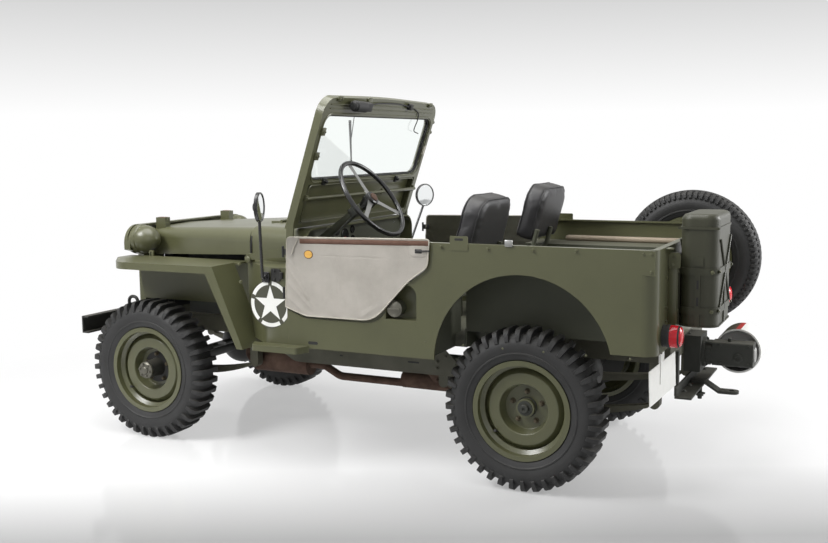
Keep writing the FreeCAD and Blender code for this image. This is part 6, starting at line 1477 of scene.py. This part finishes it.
# %% Mirror glass, rims and clamps
MIRROR_GLASS = [(0, 0.0605), (0.0008, 0.0605), (0.0016, 0.030), (0.0018, 0.002)]
MIRROR_RIM = [(0, 0.0655), (0.003, 0.0675), (0.006, 0.0655), (0.006, 0.0610), (0.003, 0.0600), (0, 0.0605)]
MIRROR_BACK = [(0, 0.055), (0.006, 0.045), (0.012, 0.022), (0.018, 0.018), (0.020, 0.014)]
for name, side, degrees, height in (("left", 1, 19, 1.222), ("right", -1, 25, 1.192)):
    turn = math.radians(degrees)
    normal = Vector((-math.cos(turn), -side * math.sin(turn), 0))
    middle = Vector((0.392, side * 0.873, height))
    foot = Vector((0.452, side * 0.745, 0.885))
    shop = Workshop()
    shop.lathe(middle + normal * 0.0062, normal, MIRROR_GLASS, 48)
    piece("mirror_face_" + name, shop, mirror_glass, smooth=60)
    shop = Workshop()
    shop.lathe(middle + normal * 0.0045, normal, MIRROR_RIM, 56, closed=True)
    shop.lathe(middle - normal * 0.006, -normal, MIRROR_BACK, 40)
    shop.bolt(foot + Vector((-0.004, side * 0.006, 0.004)), LEFTWARD * side, 0.0085, 0.010)
    shop.block(foot + Vector((-0.022, -0.001, -0.024)), foot + Vector((0.020, 0.006 * side + 0.001, 0.026)),
               0.003)
    piece("mirror_rim_" + name, shop, black_gloss)
print("mirrors", len(SIDES))

# %% [markdown]
# ## Cowl, hood and front
# Small ironwork that a plain panel lacks: the door's cast hinge, the pivots of the windscreen, the
# rubber lace under the hood's rear edge, catches, wood in the blocks for the folded screen, lamp
# lenses and bolts along the apron.

# %% Cowl sides: hinge castings, windscreen pivots, slots
COWL_SKIN = 0.7455
HINGE_Z = 0.8985
for name, side in SIDES:
    skin = side * COWL_SKIN
    out = LEFTWARD * side
    shop = Workshop()
    skin_plate(shop, rounded_outline(0.052, 0.060, 0.012), (0.395, skin, HINGE_Z), 0.006, side)
    barrel = Vector((0.362, skin + side * 0.007, HINGE_Z))
    shop.rod(barrel - UPWARD * 0.016, barrel + UPWARD * 0.016, 0.0085, 14)
    for lift in (-0.020, 0.020):
        shop.bolt((0.400, skin + side * 0.005, HINGE_Z + lift), out, 0.0062, 0.007)
    piece("hinge_casting_" + name, shop, chassis_black)
    shop = Workshop()
    bolts(shop, [(0.6003, skin, 0.9399), (0.5945, skin, 0.8561)], out, 0.006375, 0.008)
    shop.lathe((0.6405, side * 0.6155, 0.9463), out, [(0, 0.016), (0.007, 0.016), (0.009, 0.013)], 24)
    piece("pivot_bolts_" + name, shop, olive)
    # The sill slots are dark films, a painted shade in the openings
    shop = Workshop()
    for x, z in ((0.202, 0.5915), (0.717, 0.5517)):
        skin_plate(shop, rounded_outline(0.052, 0.014, 0.0068), (x, side * 0.7451, z), SLOT_FILM, side)
    piece("sill_slots_" + name, shop, black_matt)
print("cowl ironwork made on both sides")

# %% Hood lace, wood of the screen blocks, catches, apron bolts and lamps
# Bolts of the apron as x and z
APRON_BOLTS = [(1.313, 0.831), (1.423, 0.791), (1.382, 0.744), (1.425, 0.704)]
LENS_PROFILE = [(0, 0.0700), (0.006, 0.0680), (0.013, 0.050), (0.017, 0.026), (0.018, 0.003)]
BEZEL_PROFILE = [(0, 0.080), (0.012, 0.079), (0.016, 0.075), (0.016, 0.071), (0, 0.069)]
shop = Workshop()
for side in (-1, 1):
    edge_y = side * 0.5035
    shop.wire([(0.700, edge_y, 0.950), (0.700, edge_y, 1.000), (0.697, side * 0.496, 1.050)], 0.0055, 8)
piece("hood_lace", shop, black_matt)
shop = Workshop()
for side in (-1, 1):
    low = Vector((1.426 - 0.022, side * 0.290 - 0.014, 1.106))
    shop.block(low, low + Vector((0.044, 0.028, 0.0091)), 0.001)
piece("screen_rest_wood", shop, brown_band, "hood")
for name, side in SIDES:
    out = LEFTWARD * side
    catch = Vector((1.377, side * 0.452, 0.929))
    half = Vector((0.014, 0.006, 0.020))
    lamp = Vector((1.4990, side * 0.420, 1.004))
    shop = Workshop()
    shop.block(catch - half, catch + half, 0.003)
    shop.wire([catch + out * 0.008 - UPWARD * 0.016, catch + out * 0.012 + FORWARD * 0.004,
               catch + out * 0.008 + UPWARD * 0.016], 0.003, 8)
    bolts(shop, [(x, side * 0.4505, z) for x, z in APRON_BOLTS], out, 0.006, 0.007)
    piece("apron_bolts_" + name, shop, olive)
    shop = Workshop()
    shop.lathe(lamp, FORWARD, LENS_PROFILE, 48)
    piece("lamp_lens_" + name, shop, lamp_glass, smooth=60)
    shop = Workshop()
    shop.lathe(lamp - FORWARD * 0.004, FORWARD, BEZEL_PROFILE, 56, closed=True)
    piece("lamp_bezel_" + name, shop, olive)
print("hood and front fittings made")

# %% [markdown]
# ## Rails, corners and tail
# The top rail carries plates and studs for the canvas top, and the corners have bolted plates. The
# tail holds bracket plates, ring eyes, lamps, the number plate and the can in its rack.

# %% Rails, studs and corner plates
RAIL_SKIN = 0.7452
# Studs of the rail as x and z
STUDS = [(-0.664, 1.058), (-0.862, 1.061), (-1.044, 1.064), (-0.450, 1.0605)]
STUD_PROFILE = [(0, 0.0085), (0.002, 0.0085), (0.003, 0.0045), (0.008, 0.0042), (0.0085, 0.0062),
                (0.012, 0.0055)]
# The corner plate's outline, with its cut lower front corner
CORNER = [(-0.031, 0.049), (0.031, 0.049), (0.031, -0.020), (0.020, -0.044), (0.0, -0.049), (-0.031, -0.049)]
FIRST_RIVET, RIVETS, RIVET_STEP, RIVET_Z = -1.27, 6, 0.18, 0.640
for name, side in SIDES:
    out = LEFTWARD * side
    skin = side * RAIL_SKIN
    corner = [(-a, b) for a, b in reversed(CORNER)] if side > 0 else CORNER
    shop = Workshop()
    skin_plate(shop, rounded_outline(0.083, 0.061, 0.006), (-0.5325, skin, 1.0775), 0.0025, side)
    skin_plate(shop, corner, (-1.333, skin, 1.026), 0.006, side)
    for x, z in STUDS:
        shop.lathe((x, skin, z), out, STUD_PROFILE, 18)
    for x, z in ((-1.348, 1.062), (-1.316, 1.062), (-1.348, 0.992)):
        shop.bolt((x, skin + side * 0.006, z), out, 0.0048, 0.006)
    for step in range(RIVETS):
        shop.ball((FIRST_RIVET + step * RIVET_STEP, skin, RIVET_Z), 0.0048, 0.45, out, 12)
    piece("rail_plates_" + name, shop, olive)
    # The rail slot is a dark film, a painted shade in the opening
    shop = Workshop()
    slot_place = (-0.5325, skin + side * 0.0025, 1.094)
    skin_plate(shop, rounded_outline(0.040, 0.010, 0.0048), slot_place, SLOT_FILM, side)
    piece("rail_slot_" + name, shop, black_matt)
shop = Workshop()
shop.block((-0.7745, 0.744, 1.071), (-0.7405, 0.754, 1.099), 0.003)
piece("rail_box", shop, bare_steel)
shop = Workshop()
shop.block((-1.218, -0.736, 0.9635), (-0.548, -0.688, 0.991), 0.010)
piece("bench_pad", shop, tan_pad, smooth=60)
print("rails and corners made, studs", len(STUDS) * 2)

# %% Tail brackets and lamp lenses
TAIL_FACE = -1.3715
# Corners of the rope eye seen from above, as x and a shift across
EYE_CORNERS = [(-1.371, -0.012), (-1.388, -0.010), (-1.396, 0), (-1.388, 0.010), (-1.371, 0.012)]
TAIL_LENS = [(0, 0.0447), (0.034, 0.0447), (0.043, 0.0415), (0.050, 0.033), (0.0535, 0.018), (0.054, 0.002)]
TAIL_RING = [(0, 0.0465), (0.010, 0.0475), (0.013, 0.0465), (0.013, 0.0445), (0, 0.0445)]
shop = Workshop()
for side in (1, -1):
    plate_y, eye_y, channel_y = side * 0.540, side * 0.575, side * 0.525
    skin_plate(shop, rounded_outline(0.048, 0.065, 0.014), (-1.396, plate_y, 1.018), 0.005)
    for x, z in ((-1.396, 1.036), (-1.388, 1.000)):
        shop.bolt((x, plate_y + 0.005, z), LEFTWARD, 0.0052, 0.006)
    shop.wire([(x, eye_y + shift, 1.069) for x, shift in EYE_CORNERS], 0.0040, 8)
    for low, high in ((-0.015, -0.011), (0.011, 0.015)):
        shop.block((-1.405, channel_y + low, 0.750), (TAIL_FACE, channel_y + high, 0.985), 0.001)
    bolts(shop, [(TAIL_FACE, side * 0.580, z) for z in (0.775, 0.830, 0.955)], REARWARD, 0.0055, 0.006)
piece("tail_brackets", shop, olive)
for name, side in SIDES:
    lamp = Vector((-1.3980, side * 0.620, 0.721))
    shop = Workshop()
    shop.lathe(lamp, REARWARD, TAIL_LENS, 44)
    piece("tail_lens_" + name, shop, red_lens, smooth=60)
    shop = Workshop()
    shop.lathe(lamp + FORWARD * 0.008, REARWARD, TAIL_RING, 44, closed=True)
    piece("tail_lamp_ring_" + name, shop, black_matt)
print("tail brackets and lamps made")

# %% Number plate: a blank face with a dark border
PLATE_TURN = math.radians(8)
PLATE_FLAT = 0.0008
BORDER_LIFT = 0.0004
BORDER_SHARES = (0.955, 0.915)
plate_out = Vector((-math.cos(PLATE_TURN), math.sin(PLATE_TURN), 0))
plate_across = Vector((-math.sin(PLATE_TURN), -math.cos(PLATE_TURN), 0))
plate = nodes["licence_plate"]
plate_points = [plate.matrix_world @ vertex.co for vertex in plate.data.vertices]
face_level = max(point.dot(plate_out) for point in plate_points)
face_points = [point for point in plate_points if face_level - point.dot(plate_out) < PLATE_FLAT]
corners = []
for a, b in ((-1, -1), (1, -1), (1, 1), (-1, 1)):
    corners.append(max(face_points, key=lambda point: a * point.dot(plate_across) + b * point.z))
plate_middle = sum(corners, Vector()) / 4
shop = Workshop()
for lift in (BORDER_LIFT, BORDER_LIFT * 2):
    shop.grid([[plate_middle.lerp(corner, share) + plate_out * lift for corner in corners]
               for share in BORDER_SHARES])
bolts(shop, [plate_middle.lerp(corner, 0.72) for corner in corners[2:]], plate_out, 0.0050, 0.004)
piece("plate_border", shop, black_matt)
print("plate corners", [tuple(round(value, 3) for value in corner) for corner in corners])

# %% Fuel can and rack
CAN_REAR, CAN_FRONT, CAN_SKIN = -1.562, -1.401, 0.5035
RACK_SKIN, RACK_REAR = 0.5050, -1.5632
# Ends of the two crossing ribs on each broad face, as across and height
CAN_RIBS = [((0.20, 0.82), (0.455, 1.10)), ((0.20, 1.10), (0.455, 0.82))]
# The can's ribs and plates carry the can's painted shade
shop = Workshop()
skin_plate(shop, rounded_outline(0.164, 0.010, 0.003), (-1.4815, CAN_SKIN, 1.148), 0.002)
for x in (CAN_REAR, CAN_FRONT):
    for start, end in CAN_RIBS:
        shop.rod((x, *start), (x, *end), 0.0042, 8)
skin_plate(shop, rounded_outline(0.034, 0.036, 0.004), (-1.486, CAN_SKIN, 1.012), 0.0012)
piece("can_ribs", shop, deep_shade_olive)
shop = Workshop()
for z in (0.971, 0.810):
    bolts(shop, [(x, RACK_SKIN, z) for x in (-1.54, -1.40)], LEFTWARD, 0.0055, 0.006)
    bolts(shop, [(RACK_REAR, across, z) for across in (0.18, 0.47)], REARWARD, 0.0055, 0.006)
piece("rack_bolts", shop, olive)
# The rack slots are dark films, a painted shade in the openings
shop = Workshop()
for z in (0.80, 0.86, 0.92):
    shop.block((RACK_REAR - 0.0005, 0.3235, z), (RACK_REAR, 0.3315, z + 0.036), 0)
for z in (0.83, 0.90):
    shop.block((-1.486, RACK_SKIN, z), (-1.478, RACK_SKIN + 0.0005, z + 0.036), 0)
piece("rack_slots", shop, black_matt)
print("can and rack dressed")

# %% [markdown]
# ## Power take-off, pulley and drawbar
# The gear case under the tail has a bolted flange, a round boss, a breather and an end cap. The
# pulley drum is white as a painted highlight, with a red stripe, a dark band of painted shade on
# one part of its rim and a black lining of painted shade in its bore.

# %% Gear case bolts, breather, cap and lever
SHAFT_Z = 0.545
CASE_SKIN = 0.0462
FLANGE_CIRCLE = 0.058
shop = Workshop()
for turn in turns(8, 0.2):
    across, up = polar(FLANGE_CIRCLE, turn)
    shop.bolt((-1.4402, across, SHAFT_Z + up), REARWARD, 0.006, 0.007)
bolts(shop, [(x, CASE_SKIN, z) for x in (-1.628, -1.505) for z in (0.586, 0.506)], LEFTWARD, 0.0065, 0.007)
shop.lathe((-1.5846, CASE_SKIN, 0.5320), LEFTWARD,
           [(0, 0.021), (0.006, 0.021), (0.009, 0.017), (0.009, 0.010), (0.004, 0.009)], 28)
shop.rod((-1.5415, 0.010, 0.596), (-1.5415, 0.010, 0.615), 0.0085, 16)
shop.wire([(-1.3627, 0.030, 0.628), (-1.42, 0.036, 0.600), (-1.4845, 0.040, 0.590)], 0.0060, 10)
piece("gear_case_bolts", shop, cast_grey)
shop = Workshop()
shop.lathe((-1.6475, 0.0, SHAFT_Z), REARWARD,
           [(0, 0.034), (0.005, 0.034), (0.008, 0.028), (0.009, 0.004)], 36)
piece("gear_case_cap", shop, bare_steel)
print("gear case dressed")

# %% Pulley stripe, and painted shade on the drum and in its bore
PULLEY_X = -1.567
PULLEY_NEAR, PULLEY_FAR = -0.0585, -0.2355
DRUM_RADIUS, DRUM_FILM = 0.1019, 0.0006
BORE_PROFILE = [(0, 0.0940), (0.170, 0.0940), (0.170, 0.0930), (0, 0.0930)]


def drum_sector(shop, first, last):
    """A film on the outside of the pulley between two angles in degrees."""
    steps = int((last - first) / 4)
    section = [(DRUM_RADIUS, PULLEY_NEAR), (DRUM_RADIUS + DRUM_FILM, PULLEY_NEAR),
               (DRUM_RADIUS + DRUM_FILM, PULLEY_FAR), (DRUM_RADIUS, PULLEY_FAR)]
    rows = []
    for step in range(steps + 1):
        ray_x, ray_z = polar(1, math.radians(first + (last - first) * step / steps))
        rows.append([Vector((PULLEY_X + ray_x * r, y, SHAFT_Z + ray_z * r)) for r, y in section])
    shop.grid(rows, capped=True)


shop = Workshop()
drum_sector(shop, 84, 96)
piece("pulley_stripe", shop, red_paint, "belt_pulley")
# The dark band is a painted shade on the drum's upper front
shop = Workshop()
drum_sector(shop, 22, 84)
piece("pulley_painted_shade", shop, deep_shade_olive, "belt_pulley")
# The black lining is a painted shade inside the bore
shop = Workshop()
shop.lathe((PULLEY_X, PULLEY_NEAR - 0.001, SHAFT_Z), -LEFTWARD, BORE_PROFILE, 56, closed=True)
piece("pulley_bore", shop, black_matt, "belt_pulley")
print("pulley painted")

# %% Drawbar bolts and hanging pin
PIN = Vector((-1.400, -0.078, 0.302))
shop = Workshop()
bolts(shop, [(PIN.x, across, 0.4205) for across in (-0.300, -0.180, 0.180, 0.300)], UPWARD, 0.0075, 0.008)
shop.rod(PIN, PIN + UPWARD * 0.100, 0.0105, 16)
shop.bolt(PIN + UPWARD * 0.028, -UPWARD, 0.017, 0.016)
piece("drawbar_bolts", shop, cast_grey)
print("drawbar bolts made")

# %% [markdown]
# ## Below the car, filler and spare
# A clamp joins the tail pipe to its can, which hangs from a bracket on the rail. The gusset plate
# of the spring hanger is bolted on. The filler has a pressed cap with a lever.

# %% Exhaust clamp and hanger, gusset and rail slots
RAIL_FACE = 0.3712
CLAMP_PROFILE = [(0, 0.031), (0.003, 0.033), (0.020, 0.033), (0.024, 0.031)]
# Outlines as (rearward, up) from the plate's upper front corner
HANGER = [(0.0, 0.0), (0.100, 0.004), (0.052, -0.062)]
GUSSET = [(0.0, 0.0), (0.075, 0.018), (0.132, -0.036), (0.106, -0.084), (0.006, -0.092)]
shop = Workshop()
shop.lathe((-0.060, 0.235, 0.334), REARWARD, CLAMP_PROFILE, 32)
shop.block((-0.083, 0.226, 0.362), (-0.061, 0.244, 0.382), 0.003)
skin_plate(shop, HANGER, (-0.173, 0.300, 0.389), 0.004)
shop.bolt((-0.227, 0.304, 0.359), LEFTWARD, 0.010, 0.010)
piece("exhaust_clamp", shop, rust)
shop = Workshop()
skin_plate(shop, GUSSET, (-0.225, RAIL_FACE, 0.511), 0.004)
gusset_bolts = [(x, 0.375, z) for x, z in ((-0.2578, 0.4685), (-0.2566, 0.4369), (-0.3013, 0.4974))]
bolts(shop, gusset_bolts, LEFTWARD, 0.0075, 0.008)
piece("frame_gusset", shop, frame_olive)
# The frame slots are dark films, a painted shade in the openings
shop = Workshop()
for x, long in ((0.2700, 0.018), (-0.130, 0.060)):
    skin_plate(shop, rounded_outline(long, 0.008, 0.0039), (x, RAIL_FACE, 0.455), SLOT_FILM)
piece("frame_slots", shop, black_matt)
print("exhaust clamp, gusset and rail slots made")

# %% Filler cap and the nuts of the spare
CAP_PLACE = Vector((-0.219, 0.7375, 0.776))
CAP_PROFILE = [(0, 0.036), (0.004, 0.037), (0.007, 0.034), (0.008, 0.026), (0.0095, 0.024), (0.0105, 0.004)]
shop = Workshop()
shop.lathe(CAP_PLACE, LEFTWARD, CAP_PROFILE, 40)
shop.block(CAP_PLACE + Vector((-0.030, 0.0100, -0.005)), CAP_PLACE + Vector((0.030, 0.0135, 0.005)), 0.0015)
piece("filler_cap", shop, hub_metal)
shop = Workshop()
for turn in turns(NUTS, NUT_TURN):
    wheel_nut(shop, round_the_hub(SPARE_CENTRE, NUT_CIRCLE, turn, -DISC_FACE), -LEFTWARD)
piece("spare_nuts", shop, nut_brown)
print("filler cap and spare nuts made")

# %% Sizes and the last check
dressed_low, dressed_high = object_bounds()
for packed, dressed in ((cad_low, dressed_low), (cad_high, dressed_high)):
    print("box grew by", [round(abs(a - b) * 1000, 1) for a, b in zip(packed, dressed)], "mm")
